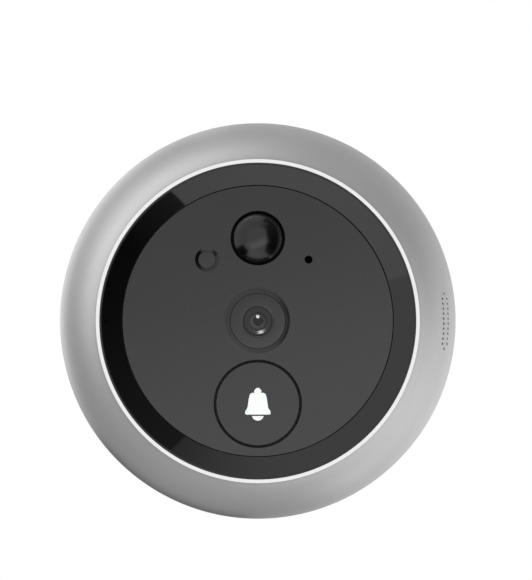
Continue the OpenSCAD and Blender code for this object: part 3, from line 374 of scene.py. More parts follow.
finishes = {
    "satin_silver": turnedAluminium(),
    # infrared-passing polycarbonate, moulded against polished steel: deep black under a hard gloss
    "gloss_black": grained("glossPolycarbonate", {
        "colour": "#070707", "shade": "#090909", "patch": 6.0, "roughness": (0.03, 0.05),
        "grain": 0.8, "IOR": 1.58}),
    # ABS with a fine spark-eroded skin: an even dark grey with a soft sheen
    "satin_black": grained("sparkedAbs", {
        "colour": "#0E0E0E", "shade": "#121212", "patch": 9.0, "roughness": (0.24, 0.3),
        "grain": 0.3, "relief": 0.0006, "IOR": 1.54}),
    # pigmented polyethylene, moulded smooth: dark, with soft-edged reflections
    "lens_black": grained("pigmentedPolyethylene", {
        "colour": "#050505", "shade": "#080808", "patch": 2.0, "roughness": (0.17, 0.21),
        "grain": 0.4, "IOR": 1.54}),
    # smoke-tinted acrylic, moulded: a dim window
    "smoke_plastic": grained("smokedAcrylic", {
        "colour": "#1B1B1B", "shade": "#202020", "patch": 1.0, "roughness": (0.3, 0.36),
        "grain": 0.2, "IOR": 1.49}),
    # black glass-filled nylon, moulded: dull, with faint grey flecks
    "inner_black": grained("filledNylon", {
        "colour": "#101011", "shade": "#1A1A1B", "patch": 0.8, "roughness": (0.5, 0.62),
        "grain": 0.12, "relief": 0.002, "IOR": 1.53}),
    # white liquid-crystal polymer, moulded: creamy and half dull
    "inner_white": grained("whitePolymer", {
        "colour": "#D9D5C8", "shade": "#E4E1D6", "patch": 1.5, "roughness": (0.45, 0.55),
        "grain": 0.15, "relief": 0.001, "IOR": 1.55}),
    # opal acrylic, moulded: clean white that lets lamps glow through
    "white_acrylic": grained("opalAcrylic", {
        "colour": "#F4F5F5", "shade": "#F8F8F8", "patch": 1.5, "roughness": (0.28, 0.34),
        "grain": 0.2,
        "IOR": 1.49, "Subsurface Weight": 0.2, "Subsurface Scale": 0.0008}),
    # nitrile rubber, moulded: a dead black
    "black_rubber": grained("nitrileRubber", {
        "colour": "#0E0E0E", "shade": "#141414", "patch": 1.2, "roughness": (0.6, 0.7),
        "grain": 0.12, "relief": 0.001, "IOR": 1.52}),
    # silicone rubber, moulded: milky and soft
    "clear_silicone": grained("milkySilicone", {
        "colour": "#C9CBCB", "shade": "#D6D7D6", "patch": 1.2, "roughness": (0.4, 0.5),
        "grain": 0.2, "relief": 0.0005,
        "IOR": 1.41, "Subsurface Weight": 0.4, "Subsurface Scale": 0.001}),
    # black ABS, moulded in an etched tool: a dull, pebbled skin
    "cover_black": grained("texturedAbs", {
        "colour": "#161617", "shade": "#1D1D1E", "patch": 4.0, "roughness": (0.52, 0.66),
        "grain": 0.22, "relief": 0.008, "IOR": 1.54}),
    # closed-cell polyethylene foam, cut from sheet: charcoal, pitted with small cells
    "foam_black": grained("polyethyleneFoam", {
        "colour": "#1C1C1E", "shade": "#2B2B2D", "patch": 0.5, "roughness": (0.8, 0.95),
        "grain": 0.3, "relief": 0.05, "IOR": 1.5}),
    # black anodised aluminium, turned: black with a soft highlight
    "barrel_black": grained("blackAnodising", {
        "colour": "#0A0A0B", "shade": "#0E0E0F", "patch": 0.8, "roughness": (0.15, 0.19),
        "grain": 0.15, "relief": 0.0002, "IOR": 1.6, "Specular IOR Level": 0.42}),
    # glass etched fine against glare and printed black on its back: an even dark sheen
    "cover_glass": grained("printedGlass", {
        "colour": "#090909", "shade": "#0C0C0C", "patch": 5.0, "roughness": (0.18, 0.24),
        "grain": 1.0, "IOR": 1.54}),
    # lens glass, polished and coated, over a black barrel: a dark pupil that mirrors only bright lamps
    "lens_glass": grained("coatedLensGlass", {
        "colour": "#070708", "shade": "#0A0A0B", "patch": 2.0, "roughness": (0.03, 0.05),
        "grain": 1.0, "IOR": 1.6, "Specular IOR Level": 0.3}),
    # infrared-cut filter glass, polished: clear with a cyan cast
    "filter_glass": grained("filterGlass", {
        "colour": "#CFE6E4", "shade": "#CBE2E6", "patch": 2.0, "roughness": (0.0, 0.01),
        "grain": 1.0, "IOR": 1.52, "Transmission Weight": 1.0}),
    # clear epoxy, cast over a lamp: a glassy, slightly milky drop
    "lamp_clear": grained("clearEpoxy", {
        "colour": "#D8DCE2", "shade": "#E0E3E8", "patch": 1.0, "roughness": (0.08, 0.14),
        "grain": 0.3, "IOR": 1.51, "Transmission Weight": 0.7}),
    # green solder mask over copper, printed: a glossy, uneven green
    "board_green": grained("solderMask", {
        "colour": "#0F3B22", "shade": "#14502E", "patch": 1.6, "roughness": (0.25, 0.35),
        "grain": 0.3, "relief": 0.004, "IOR": 1.5}),
    # drawn steel, nickel plated: a warm grey shine
    "nickel": grained("nickelPlate", {
        "colour": "#B6B2A8", "shade": "#C2BEB4", "patch": 1.2, "roughness": (0.22, 0.3),
        "grain": 0.15, "relief": 0.0006, "Metallic": 1.0}),
    # steel screws, zinc plated: cool grey with a dull shine
    "screw_steel": grained("zincPlatedSteel", {
        "colour": "#75777A", "shade": "#86888B", "patch": 0.6, "roughness": (0.3, 0.42),
        "grain": 0.12, "relief": 0.001, "Metallic": 1.0}),
    # gold over nickel, plated: a clean yellow shine
    "gold_contact": grained("goldPlate", {
        "colour": "#D9A94A", "shade": "#E2B55A", "patch": 0.5, "roughness": (0.2, 0.28),
        "grain": 0.1, "relief": 0.0004, "Metallic": 1.0}),
    # brass, turned: a browner yellow, a little dull
    "insert_brass": grained("turnedBrass", {
        "colour": "#B98E45", "shade": "#C79B50", "patch": 0.6, "roughness": (0.24, 0.34),
        "grain": 0.12, "relief": 0.001, "Metallic": 1.0}),
    # expanded fluoropolymer film, dyed: flat dark grey
    "membrane": grained("membraneFilm", {
        "colour": "#3A3A3C", "shade": "#464648", "patch": 0.6, "roughness": (0.6, 0.75),
        "grain": 0.15, "relief": 0.002, "IOR": 1.38}),
    # PVC wire insulation, extruded: red with a waxy sheen
    "wire_red": grained("wireInsulation", {
        "colour": "#9E1B1B", "shade": "#B02222", "patch": 0.8, "roughness": (0.35, 0.45),
        "grain": 0.2, "relief": 0.0006, "IOR": 1.53}),
}
# chamfer cut last with a polished diamond tool: nearly a mirror
brightCut = grained("brightCutAluminium", {
    "colour": "#EDEDED", "shade": "#F0F0F0", "patch": 4.0, "roughness": (0.03, 0.05),
    "grain": 0.3, "Metallic": 1.0})
# plastic left rough where nothing shows, in a darker black with a weak reflection: painted shade that darkens
# the gaps
mattShadeSeat = grained("roughShadeSeat", {
    "colour": "#060606", "shade": "#090909", "patch": 2.0, "roughness": (0.75, 0.9),
    "grain": 0.2, "relief": 0.002, "IOR": 1.35})
# the lens outside its stop in a paler grey: painted light, a bright ring round the pupil
paintedLightLensRing = grained("paintedLightLensRing", {
    "colour": "#5E5E5E", "shade": "#646464", "patch": 1.0, "roughness": (0.05, 0.08),
    "grain": 0.6, "IOR": 1.6, "Specular IOR Level": 0.3})
# woollen felt, cut from sheet: black and without any shine
blackFelt = grained("blackFelt", {
    "colour": "#121212", "shade": "#181818", "patch": 0.4, "roughness": (0.9, 1.0),
    "grain": 0.08, "relief": 0.01, "IOR": 1.3})

for node in nodes.values():
    node.data.materials[0] = finishes[node.data.materials[0].name]
print("materials on", len(nodes), "nodes")


# Making pieces: outlines of (radius, height over the door, fillet) corners in mm, spun round an axis

fineEdge, softEdge, fullEdge = 0.05, 0.1, 0.15   # fillets that many corners share, in mm
runPast = 1.0      # how far a cutting tool runs past the face it opens, in mm
sharpAngle = 19    # degrees past which an edge is shaded sharp


# points of an arc as corners without fillets, from one angle to another in degrees
def arcPoints(middle, radius, start, end, steps):
    turns = [radians(start + (end - start) * k / steps) for k in range(steps + 1)]
    return [(middle[0] + radius * cos(t), middle[1] + radius * sin(t), 0) for t in turns]


# points of a shallow dome, from its top to its edge at the height where it springs
def domeArc(radius, rise, spring, steps):
    sphere = (radius ** 2 + rise ** 2) / (2 * rise)
    edge = degrees(acos(radius / sphere))
    return arcPoints((0, spring + rise - sphere), sphere, 90, edge, steps)


# the outline's points, with each corner that has a fillet rounded off in a few steps
def roundCorners(corners, steps=6):
    points = []
    for count, (across, up, fillet) in enumerate(corners):
        here = Vector((across, up))
        if not fillet:
            points.append(here)
            continue
        before = (Vector(corners[count - 1][:2]) - here).normalized()
        after = (Vector(corners[(count + 1) % len(corners)][:2]) - here).normalized()
        half = before.angle(after) / 2
        middle = here + (before + after).normalized() * fillet / sin(half)
        first = (here + before * fillet / tan(half) - middle).normalized()
        last = (here + after * fillet / tan(half) - middle).normalized()
        points += [middle + first.slerp(last, k / steps) * fillet for k in range(steps + 1)]
    return points


# closes what an operator left open: doubles merged, empty faces gone, normals outwards
def tidyMesh():
    bpy.ops.mesh.select_all(action="SELECT")
    bpy.ops.mesh.remove_doubles(threshold=mergeWithin)
    bpy.ops.mesh.dissolve_degenerate(threshold=mergeWithin)
    bpy.ops.mesh.select_all(action="SELECT")
    bpy.ops.mesh.normals_make_consistent(inside=False)
    bpy.ops.object.mode_set(mode="OBJECT")


# an outline spun round the axis that stands on the door at (x, z)
def turnPiece(name, corners, axis=(0, 0), steps=96, closed=True):
    points = [Vector((axis[0] + p.x, -p.y, axis[1])) * mm for p in roundCorners(corners)]
    piece = drawLine(name, points, closed)
    bpy.ops.mesh.spin(steps=steps, angle=2 * pi, axis=(0, 1, 0), center=(axis[0] * mm, 0, axis[1] * mm))
    tidyMesh()
    return piece


# a round bar or drill between two heights, with fillets at its ends and a tip past the second
def turnRod(name, radius, low, high, place, steps, foot=0, head=0, tip=0):
    return turnPiece(name, [(0, low, 0), (radius, low, foot), (radius, high, head), (0, high + tip, 0)],
                     place, steps, False)


# a flat outline of (x, z) points in mm, raised from one height over the door to another
def raiseOutline(name, outline, low, high):
    piece = drawLine(name, [Vector((x, -low, z)) * mm for x, z in outline], True)
    bpy.ops.mesh.edge_face_add()
    bpy.ops.mesh.extrude_region_move(TRANSFORM_OT_translate={"value": (0, (low - high) * mm, 0)})
    tidyMesh()
    return piece


def joinPieces(pieces):
    pickOnly(pieces[0])
    for piece in pieces:
        piece.select_set(True)
    bpy.ops.object.join()
    return pieces[0]


# adds a modifier with its settings and applies it
def useModifier(piece, kind, settings):
    pickOnly(piece)
    bpy.ops.object.modifier_add(type=kind)
    modifier = piece.modifiers[-1]
    for key, value in settings.items():
        setattr(modifier, key, value)
    bpy.ops.object.modifier_apply(modifier=modifier.name)


# cuts one mesh out of a piece, or welds it on
def combine(piece, tool, operation="DIFFERENCE"):
    useModifier(piece, "BOOLEAN", {"operation": operation, "object": tool, "solver": "EXACT"})
    bpy.data.objects.remove(tool)


# gives a piece its finish, its shading and its place on a body, hides the nodes that it stands for,
# and puts it in the groups that some cards light
def finishPiece(piece, slot, replaced, lit=(), body="outdoor_unit"):
    pickOnly(piece)
    bpy.ops.object.shade_smooth_by_angle(angle=radians(sharpAngle))
    useModifier(piece, "WEIGHTED_NORMAL", {"keep_sharp": True})
    piece.data.materials.clear()
    piece.data.materials.append(finishes[slot])
    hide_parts(*replaced)
    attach(piece, body)
    for group in lit:
        group.objects.link(piece)


# faces get another material where a test passes on their distance from the axis, height and normal,
# whose y is -1 towards the camera
def paintFaces(piece, material, test, axis=(0, 0)):
    piece.data.materials.append(material)
    for face in piece.data.polygons:
        middle = face.center / mm
        radius = hypot(middle.x - axis[0], middle.z - axis[1])
        if test(radius, -middle.y, face.normal):
            face.material_index = len(piece.data.materials) - 1


# Housing: a turned rim with a bright-cut chamfer, sound holes and four bosses for the cover screws

housingShape = {
    "radius": 32.0, "depth": 19.0, "rim": 5.8, "draft": 0.4, "wall": 1.8, "foot": 1.0, "footEdge": 0.25,
    "bore": 25.55, "land": 0.09, "chamferEdge": 0.03, "lip": 17.0, "lipEdge": 0.08,
    "flangeRoom": 27.25, "wallEdge": 0.6,
    "holeWidth": 0.24, "holeMouth": 0.5, "mouthDepth": 0.13, "drill": 6.0, "drillSink": 0.5, "holeSides": 16,
    "holeRows": 10, "holePitch": 0.81, "holeTilt": 47, "columnGap": 1.05,
    "bossTurns": (45, 135, 225, 315), "bossCircle": 26.35, "boss": 2.2, "bossLow": 3.0,
    "bossHigh": 12.25, "bossEdge": 0.3,
    "pilot": 0.85, "pilotFlare": 1.3, "flareDepth": 0.3, "pilotEnd": 9.3, "pilotTip": 0.4,
    "webWidth": 2.4, "webEnd": 30.7, "webShorter": 0.6,
}


def makeHousing(shape):
    depth, rim, bore, lip = shape["depth"], shape["rim"], shape["bore"], shape["lip"]
    shoulder, spring = shape["radius"] - rim, depth - rim
    side = shape["radius"] - shape["draft"]
    inner = side - shape["wall"]
    chamferTop = shoulder - shape["land"]
    chamferLow = depth - (chamferTop - bore)
    outline = [(inner, shape["foot"], fullEdge), (side, shape["foot"], shape["footEdge"])]
    outline += arcPoints((shoulder, spring), rim, 0, 90, 30)
    outline += [(chamferTop, depth, 0), (bore, chamferLow, shape["chamferEdge"]),
                (bore, lip, shape["lipEdge"]), (shape["flangeRoom"], lip, 0),
                (inner, spring, shape["wallEdge"])]
    housing = turnPiece("turnedHousing", outline, steps=192)

    # the four bosses, the webs that tie them to the wall, and the pilot holes of the cover screws
    low, high, circle, pilot = shape["bossLow"], shape["bossHigh"], shape["bossCircle"], shape["pilot"]
    reach = shape["webEnd"] - circle
    bosses, webs, pilots = [], [], []
    for turn in shape["bossTurns"]:
        outward = Vector((cos(radians(turn)), 0, sin(radians(turn))))
        place = ((outward * circle).x, (outward * circle).z)
        bosses.append(turnRod("boss", shape["boss"], low, high, place, 40, fullEdge, shape["bossEdge"]))
        pilots.append(turnPiece("pilot", [
            (0, low - runPast, 0), (pilot + shape["pilotFlare"], low - runPast, 0),
            (pilot, low + shape["flareDepth"], 0), (pilot, shape["pilotEnd"], 0),
            (0, shape["pilotEnd"] + shape["pilotTip"], 0)], place, 24, False))
        bpy.ops.mesh.primitive_cube_add(
            size=mm, location=(outward * (circle + reach / 2) + Vector((0, -(low + high) / 2, 0))) * mm,
            rotation=(0, -radians(turn), 0),
            scale=(reach, high - low - shape["webShorter"], shape["webWidth"]))
        webs.append(bpy.context.object)
    combine(housing, joinPieces(bosses), "UNION")
    combine(housing, joinPieces(webs), "UNION")
    combine(housing, joinPieces(pilots))

    # two columns of sound holes square to the rim, closed by a single hole at each end
    count, pitch, tilt = shape["holeRows"], shape["holePitch"], radians(shape["holeTilt"])
    half = shape["columnGap"] / 2 / rim
    rows = [(row - (count - 1) / 2) * pitch for row in range(count)]
    end = (count + 1) / 2 * pitch
    places = [(tilt + column * half, row) for row in rows for column in (-1, 1)] + [(tilt, -end), (tilt, end)]
    hole, sides = shape["holeWidth"] / 2, shape["holeSides"]
    drills, sinks = [], []
    for lean, up in places:
        out = shoulder + rim * sin(lean)
        turn = asin(up / out)
        front = Vector((sin(lean) * cos(turn), -cos(lean), sin(lean) * sin(turn)))
        mouth = Vector((out * cos(turn), -spring - rim * cos(lean), out * sin(turn)))
        facing = front.to_track_quat("Z", "Y").to_euler()
        bpy.ops.mesh.primitive_cylinder_add(
            vertices=sides, radius=hole * mm, depth=shape["drill"] * mm,
            location=(mouth - front * shape["drillSink"]) * mm, rotation=facing)
        drills.append(bpy.context.object)
        bpy.ops.mesh.primitive_cone_add(
            vertices=sides, radius1=hole * mm, radius2=(shape["holeMouth"] - hole) * mm,
            depth=2 * shape["mouthDepth"] * mm, location=mouth * mm, rotation=facing)
        sinks.append(bpy.context.object)
    combine(housing, joinPieces(sinks))
    combine(housing, joinPieces(drills))
    finishPiece(housing, "satin_silver", ["housing"], [rimOnly])
    paintFaces(housing, brightCut,
               lambda r, h, n: bore < r < chamferTop and h > chamferLow and n.y < -0.3)
    return housing


housing = makeHousing(housingShape)
print("housing made,", len(housing.data.polygons), "faces")


# Gloss ring: a polished slope on an outline that also holds the lamp channel and the seat of the panel

ringShape = {
    "outer": 25.29, "top": 18.124, "topEdge": 0.05, "inner": 21.93, "foot": 16.519, "footEdge": 0.12,
    "seat": 14.95, "ledge": 21.4, "base": 13.75, "flange": 27.05, "flangeTop": 16.6,
    "channelIn": 22.4, "channelOut": 26.05, "channelTop": 15.05, "channelEdge": 0.2,
    "postTurns": (22.5, 112.5, 202.5, 292.5), "postCircle": 24.225, "post": 1.7,
    "postEnd": 9.8, "postSink": 0.1,
    "pilot": 0.75, "pilotDepth": 3.4, "pilotTip": 0.3, "pinhole": 0.4, "pinholeX": -24.25,
}


def makeRing(shape):
    seat, base, end = shape["seat"], shape["base"], shape["postEnd"]
    channelTop, channelEdge = shape["channelTop"], shape["channelEdge"]
    ring = turnPiece("glossRing", [
        (shape["outer"], shape["top"], shape["topEdge"]), (shape["inner"], shape["foot"], shape["footEdge"]),
        (shape["inner"], seat, 0), (shape["ledge"], seat, fineEdge),
        (shape["ledge"], base, fineEdge), (shape["channelIn"], base, fineEdge),
        (shape["channelIn"], channelTop, channelEdge), (shape["channelOut"], channelTop, channelEdge),
        (shape["channelOut"], base, fineEdge), (shape["flange"], base, softEdge),
        (shape["flange"], shape["flangeTop"], softEdge), (shape["outer"], shape["flangeTop"], 0)], steps=192)
    posts, pilots = [], []
    for turn in shape["postTurns"]:
        place = [shape["postCircle"] * trim(radians(turn)) for trim in (cos, sin)]
        posts.append(turnRod("post", shape["post"], end, channelTop + shape["postSink"], place, 32, fullEdge))
        pilots.append(turnRod("pilot", shape["pilot"], end - runPast, end + shape["pilotDepth"], place, 20,
                              tip=shape["pilotTip"]))
    combine(ring, joinPieces(posts), "UNION")
    combine(ring, joinPieces(pilots))
    combine(ring, turnRod("pinhole", shape["pinhole"], base - runPast, shape["top"] + runPast,
                          (shape["pinholeX"], 0), 24))
    finishPiece(ring, "gloss_black", ["gloss_ring"])
    # painted shade: the ring's sides and back take the dark rough finish
    paintFaces(ring, mattShadeSeat, lambda r, h, n: n.y > -0.5 or h < shape["foot"] - 0.1)


makeRing(ringShape)
print("gloss ring made")


# Front panel: one turned disc that sweeps up to a low rim round the camera, with the openings cut through

panelShape = {
    "radius": 21.85, "back": 14.95, "face": 16.45, "edge": 0.06, "smallEdge": 0.04,
    "cameraHole": 4.5, "rimFoot": 5.5, "rimSweep": 0.4, "rimSlope": 19.7,
    "glassPocket": 4.95, "glassSeat": 15.75,
    "sensor": (0, 13.395), "sensorHole": 4.35, "button": (0, -13.37), "buttonHole": 7.08,
    "light": (-8.2, 9.915), "lightHole": 1.44, "lightMouth": 1.95, "lightDepth": 0.25,
    "mic": (8.2, 9.915), "micHole": 0.62, "pinX": 8.13, "pin": 0.6, "pinEnd": 13.0, "pinSink": 0.2,
}


def makePanel(shape):
    face, back, edge, smallEdge = shape["face"], shape["back"], shape["edge"], shape["smallEdge"]
    hole, slope = shape["cameraHole"], radians(shape["rimSlope"])
    sweep = shape["rimSweep"] / sin(slope)
    rim = arcPoints((shape["rimFoot"], face + sweep), sweep, 270 - shape["rimSlope"], 270, 8)
    rise = (rim[0][0] - hole) * tan(slope)
    panel = turnPiece("facePanel", [
        (shape["glassPocket"], back, 0), (shape["glassPocket"], shape["glassSeat"], 0),
        (hole, shape["glassSeat"], 0), (hole, rim[0][1] + rise, smallEdge), *rim,
        (shape["radius"], face, edge), (shape["radius"], back, softEdge)], steps=192)

    # each opening is cut by a turned tool whose mouth flares, so that its edge comes out broken
    def opening(place, radius, flare, depth):
        return turnPiece("opening", [
            (0, back - runPast, 0), (radius, back - runPast, 0), (radius, face - depth, 0),
            (radius + flare, face, 0), (radius + flare, face + runPast, 0), (0, face + runPast, 0)],
            place, 80, False)

    combine(panel, joinPieces([
        opening(shape["sensor"], shape["sensorHole"], edge, edge),
        opening(shape["button"], shape["buttonHole"], edge, edge),
        opening(shape["mic"], shape["micHole"], smallEdge, smallEdge),
        opening(shape["light"], shape["lightHole"], shape["lightMouth"] - shape["lightHole"],
                shape["lightDepth"])]))
    pins = [turnRod("pin", shape["pin"], shape["pinEnd"], back + shape["pinSink"],
                    (side * shape["pinX"], shape["button"][1]), 24, fullEdge) for side in (-1, 1)]
    combine(panel, joinPieces(pins), "UNION")
    finishPiece(panel, "satin_black", ["front_panel"], [faceOnly])
    paintFaces(panel, finishes["lens_black"],
               lambda r, h, n: r < shape["lightMouth"] and -0.99 < n.y < -0.2, shape["light"])


makePanel(panelShape)
print("panel made")


# Motion sensor: a shallow dome with a matt flange behind the panel

domeShape = {"axis": panelShape["sensor"], "radius": 3.87, "rise": 1.5, "spring": 16.45, "wall": 0.6,
             "flange": 4.7, "flangeTop": 14.95, "base": 14.15}


def makeDome(shape):
    radius, wall, rise, spring = shape["radius"], shape["wall"], shape["rise"], shape["spring"]
    hollow = domeArc(radius - wall, rise - wall / 2, spring - wall / 2, 18)
    dome = turnPiece("sensorDome", [
        *domeArc(radius, rise, spring, 18),
        (radius, shape["flangeTop"], softEdge), (shape["flange"], shape["flangeTop"], fineEdge),
        (shape["flange"], shape["base"], fineEdge), (radius - wall, shape["base"], softEdge),
        *hollow[::-1]], shape["axis"], 128, False)
    finishPiece(dome, "lens_black", ["pir_lens"], [faceOnly])
    # painted shade: the flange below the dome takes the dark rough finish
    paintFaces(dome, mattShadeSeat, lambda r, h, n: h < spring - 0.02, shape["axis"])


makeDome(domeShape)
print("motion sensor made")


# Light window, and the camera behind its cover: all turned

lightShape = {"axis": panelShape["light"], "radius": 1.4, "top": 16.2, "foot": 10.8, "flange": 2.15,
              "flangeTop": 14.95, "flangeLow": 14.15}
cameraShape = {
    "cover": 4.475, "clear": 2.36, "clearEdge": 2.74, "edgeDrop": 0.08, "dropEdge": 0.02,
    "coverTop": 16.7, "coverEdge": 0.08,
    "flange": 4.9, "flangeTop": 15.75, "flangeLow": 14.95,
    "hood": 4.6, "hoodBore": 2.52, "hoodTop": 14.9, "hoodLow": 12.4, "hoodEdge": 0.12,
    "barrel": 2.42, "barrelTop": 14.6, "barrelLow": 11.05, "barrelEdge": 0.06,
    "slopeOut": 2.1, "slopeIn": 1.6, "slopeLow": 14.495, "slopeEdge": 0.04, "lip": 1.42, "lipDrop": 0.06,
    "stop": 0.85, "stopDrop": 0.2, "stopEdge": 0.03, "rearBore": 1.35, "rearEnd": 12.0,
    "lens": 1.65, "lensRise": 0.45, "lensEdge": 14.15, "lensLow": 13.75, "lensPlay": 0.05,
}


def makeLightWindow(shape):
    radius, flange = shape["radius"], shape["flange"]
    pipe = turnPiece("lightWindow", [
        (0, shape["top"], 0), (radius, shape["top"], fineEdge), (radius, shape["flangeTop"], 0),
        (flange, shape["flangeTop"], fineEdge), (flange, shape["flangeLow"], fineEdge),
        (radius, shape["flangeLow"], softEdge), (radius, shape["foot"], softEdge), (0, shape["foot"], 0)],
        shape["axis"], 64, False)
    finishPiece(pipe, "smoke_plastic", ["light_pipe"], [faceOnly])


def makeCamera(shape):
    cover, top, stop = shape["cover"], shape["coverTop"], shape["stop"]
    glass = turnPiece("lensCover", [
        (shape["clear"], shape["flangeLow"], fineEdge),
        (shape["clear"], top - shape["edgeDrop"], shape["dropEdge"]),
        (shape["clearEdge"], top, softEdge), (cover, top, shape["coverEdge"]), (cover, shape["flangeTop"], 0),
        (shape["flange"], shape["flangeTop"], fineEdge), (shape["flange"], shape["flangeLow"], fineEdge)])
    finishPiece(glass, "cover_glass", ["camera_window"], [faceOnly])
    # painted shade: the cover's side takes the dark rough finish
    paintFaces(glass, mattShadeSeat, lambda r, h, n: r > cover - 0.02 and h < top - 0.3)
    hood = turnPiece("lensHood", [
        (shape["hoodBore"], shape["hoodLow"], 0), (shape["hood"], shape["hoodLow"], softEdge),
        (shape["hood"], shape["hoodTop"], softEdge),
        (shape["hoodBore"], shape["hoodTop"], shape["hoodEdge"])])
    finishPiece(hood, "inner_black", ["lens_shroud"])
    step, slopeEdge = shape["lens"] + shape["lensPlay"], shape["slopeEdge"]
    barrel = turnPiece("lensBarrel", [
        (shape["rearBore"], shape["barrelLow"], fineEdge), (shape["barrel"], shape["barrelLow"], softEdge),
        (shape["barrel"], shape["barrelTop"], shape["barrelEdge"]),
        (shape["slopeOut"], shape["barrelTop"], slopeEdge), (shape["slopeIn"], shape["slopeLow"], slopeEdge),
        (shape["lip"], shape["slopeLow"], fineEdge), (shape["lip"], shape["slopeLow"] - shape["lipDrop"], 0),
        (step, shape["lensEdge"], 0), (step, shape["lensLow"], 0),
        (stop, shape["lensLow"] - shape["stopDrop"], shape["stopEdge"]),
        (stop, shape["rearEnd"], shape["stopEdge"]), (shape["rearBore"], shape["rearEnd"], 0)])
    finishPiece(barrel, "barrel_black", ["lens_barrel"], [barrelOnly])
    lens = turnPiece("frontLens", [
        *domeArc(shape["lens"], shape["lensRise"], shape["lensEdge"], 14),
        (shape["lens"], shape["lensLow"], fineEdge), (0, shape["lensLow"], 0)], steps=80, closed=False)
    finishPiece(lens, "lens_glass", ["front_lens"], [lensOnly])
    # painted light: the lens outside its stop is a paler grey
    paintFaces(lens, paintedLightLensRing, lambda r, h, n: r > stop)


# Microphone: a crimped can with a felt pad on its face
micShape = {"axis": panelShape["mic"], "radius": 2.0, "top": 11.3, "low": 9.8, "crimp": 0.35,
            "sink": 0.12, "crimpEdge": 0.04, "footEdge": 0.06}


def makeMicrophone(shape):
    radius, top, low = shape["radius"], shape["top"], shape["low"]
    pad = radius - shape["crimp"]
    can = turnPiece("micCapsule", [
        (0, top - shape["sink"], 0), (pad, top - shape["sink"], 0), (pad, top, shape["crimpEdge"]),
        (radius, top, fullEdge), (radius, low, shape["footEdge"]), (0, low, 0)], shape["axis"], 64, False)
    finishPiece(can, "nickel", ["microphone"])
    paintFaces(can, blackFelt, lambda r, h, n: r < pad and n.y < -0.5, shape["axis"])


makeLightWindow(lightShape)
makeCamera(cameraShape)
makeMicrophone(micShape)
print("light window, camera and microphone made")


# Bell push: a turned button with two guide ears, a white bell let into it and a silicone dome below

bellShape = {
    "axis": panelShape["button"], "radius": 6.72, "face": 16.45, "edge": 0.08, "roof": 15.45, "wall": 0.9,
    "flange": 7.43, "flangeTop": 14.9, "base": 14.2,
    "earX": panelShape["pinX"], "ear": 1.4, "earHole": 0.7, "earPast": 0.6,
    "bellHeight": 5.24, "bellSink": 0.3, "gap": 0.05,
    "guide": 5.77, "guideTop": 15.4, "guideLow": 14.5, "stem": 2.0, "stemEnd": 13.25, "stemEdge": 0.2,
}


# right half of a hand bell that is 2 units high, from its crown to its lip, then its mirrored half
def bellOutline():
    half = arcPoints((0, 0.8), 0.19, 90, 25, 5) + [(0.24, 0.8, 0), (0.2, 0.71, 0)]
    half += arcPoints((0.3, 0.46), 0.22, 97, 8, 8) + [(0.565, 0.28, 0), (0.6, 0, 0)]
    half += arcPoints((1.02, -0.11), 0.4, 182, 232, 8) + arcPoints((0.69, -0.56), 0.1, 40, -90, 6)
    return [(x, z) for x, z, _ in half] + [(-x, z) for x, z, _ in half[:0:-1]]


# outlines of the bell and its clapper on the button, in mm, moved out by a gap
def bellParts(shape, gap):
    parts = []
    for outline in (bellOutline(), [(x, z) for x, z, _ in arcPoints((0, -0.67), 0.37, 348, 192, 14)]):
        points = [Vector(p) * shape["bellHeight"] / 2 for p in outline]
        sides = [(after - here).orthogonal().normalized()
                 for here, after in zip(points, points[1:] + points[:1])]
        moved = [here + gap * (a + b) / (1 + a.dot(b))
                 for here, a, b in zip(points, sides[-1:] + sides, sides)]
        parts.append([(p.x + shape["axis"][0], p.y + shape["axis"][1]) for p in moved])
    return parts


def makeBellPush(shape):
    axis, radius, face, roof = shape["axis"], shape["radius"], shape["face"], shape["roof"]
    base, flangeTop, wallBore = shape["base"], shape["flangeTop"], radius - shape["wall"]
    button = turnPiece("bellButton", [
        (0, face, 0), (radius, face, shape["edge"]), (radius, flangeTop, 0),
        (shape["flange"], flangeTop, fineEdge), (shape["flange"], base, softEdge),
        (wallBore, base, softEdge), (wallBore, roof, softEdge), (0, roof, 0)], axis, 128, False)
    ears, earHoles = [], []
    for side in (-1, 1):
        place = (axis[0] + side * shape["earX"], axis[1])
        ears.append(turnRod("ear", shape["ear"], base, flangeTop, place, 40, softEdge, fineEdge))
        earHoles.append(turnRod("earHole", shape["earHole"], base - runPast, flangeTop + shape["earPast"],
                                place, 32))
    combine(button, joinPieces(ears), "UNION")
    combine(button, joinPieces(earHoles))
    combine(button, joinPieces([raiseOutline("bellHole", outline, roof - runPast, face + runPast)
                                for outline in bellParts(shape, shape["gap"])]))
    finishPiece(button, "satin_black", ["bell_button"], [faceOnly], "bell_push")
    paintFaces(button, finishes["inner_black"], lambda r, h, n: r > radius - 0.02 and h < face - 0.1, axis)

    guide, top, low, stem = shape["guide"], shape["guideTop"], shape["guideLow"], shape["stem"]
    lightGuide = turnPiece("bellLightGuide", [
        (0, top, 0), (guide, top, fineEdge), (guide, low, softEdge), (stem, low, shape["stemEdge"]),
        (stem, shape["stemEnd"], softEdge), (0, shape["stemEnd"], 0)], axis, 96, False)
    combine(lightGuide, joinPieces([raiseOutline("bell", outline, top - shape["bellSink"], face)
                                    for outline in bellParts(shape, 0)]), "UNION")
    finishPiece(lightGuide, "white_acrylic", ["bell_light_guide"], [faceOnly], "bell_push")


springShape = {"axis": panelShape["button"], "foot": 5.0, "footBore": 4.2, "footTop": 10.4, "low": 9.8,
               "top": 13.2, "topRadius": 2.45, "topEdge": 0.25, "wall": 0.45, "bend": 0.2, "hollowBend": 0.3,
               "nub": 0.9, "nubLow": 12.15, "roof": 12.5, "keep": 0.853}


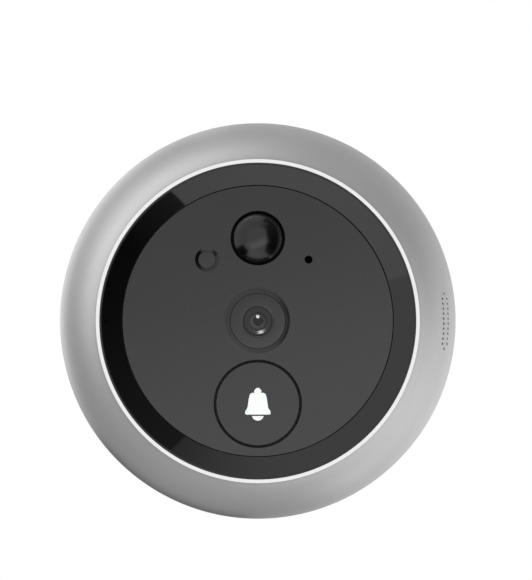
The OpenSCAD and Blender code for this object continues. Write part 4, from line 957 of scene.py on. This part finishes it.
def makeReturnDome(shape):
    foot, bore, footTop, low = shape["foot"], shape["footBore"], shape["footTop"], shape["low"]
    nub, nubLow, roof = shape["nub"], shape["nubLow"], shape["roof"]
    wide, top, wall, bend = shape["topRadius"], shape["top"], shape["wall"], shape["bend"]
    spring = turnPiece("returnDome", [
        (0, nubLow, 0), (nub, nubLow, softEdge), (nub, roof, softEdge), (wide - wall, roof, bend),
        (bore, footTop, shape["hollowBend"]), (bore, low, fineEdge), (foot, low, fineEdge),
        (foot, footTop, fullEdge), (bore + wall, footTop, bend), (wide, top, shape["topEdge"]),
        (0, top, 0)], shape["axis"], 72, False)
    finishPiece(spring, "clear_silicone", ["return_dome"])
    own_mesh(spring)


makeBellPush(bellShape)
makeReturnDome(springShape)
print("bell push made")


# What shows at the back: copies of the plain nodes with their edges broken, by a width in mm

backShape = {
    "rearCover": ("rear_cover", "cover_black", 0.15),
    "coverScrews": ("cover_screws", "screw_steel", 0.12),
    "clampInserts": ("clamp_inserts", "insert_brass", 0.12),
    "cableSocket": ("cable_socket", "inner_black", 0.08),
}
breakShape = {"flatWithin": 0.5, "sharpPast": 40, "segments": 3}   # the first two in degrees


# loose triangles merged, flat faces joined, edges rounded over
def breakEdges(name, source, slot, width):
    piece = bpy.data.objects.new(name, nodes[source].data.copy())
    scene.collection.objects.link(piece)
    pickOnly(piece)
    bpy.ops.object.mode_set(mode="EDIT")
    bpy.ops.mesh.select_all(action="SELECT")
    bpy.ops.mesh.remove_doubles(threshold=mergeWithin)
    bpy.ops.mesh.dissolve_limited(angle_limit=radians(breakShape["flatWithin"]))
    bpy.ops.object.mode_set(mode="OBJECT")
    useModifier(piece, "BEVEL", {"width": width * mm, "segments": breakShape["segments"],
                                 "angle_limit": radians(breakShape["sharpPast"])})
    finishPiece(piece, slot, [source])
    return len(piece.data.polygons)


for name, (source, slot, width) in backShape.items():
    print(name, "made,", breakEdges(name, source, slot, width), "faces")


# Foam pad: a soft ring, well rounded on the side of the door

foamShape = {"inner": 9.4, "outer": 24.15, "thick": 1.0, "round": 0.3, "coverEdge": 0.06}


def makeFoam(shape):
    foam = turnPiece("foamPad", [
        (shape["inner"], 0, shape["round"]), (shape["outer"], 0, shape["round"]),
        (shape["outer"], shape["thick"], shape["coverEdge"]),
        (shape["inner"], shape["thick"], shape["coverEdge"])], steps=160)
    finishPiece(foam, "foam_black", ["foam_pad"])


makeFoam(foamShape)
print("foam pad made")
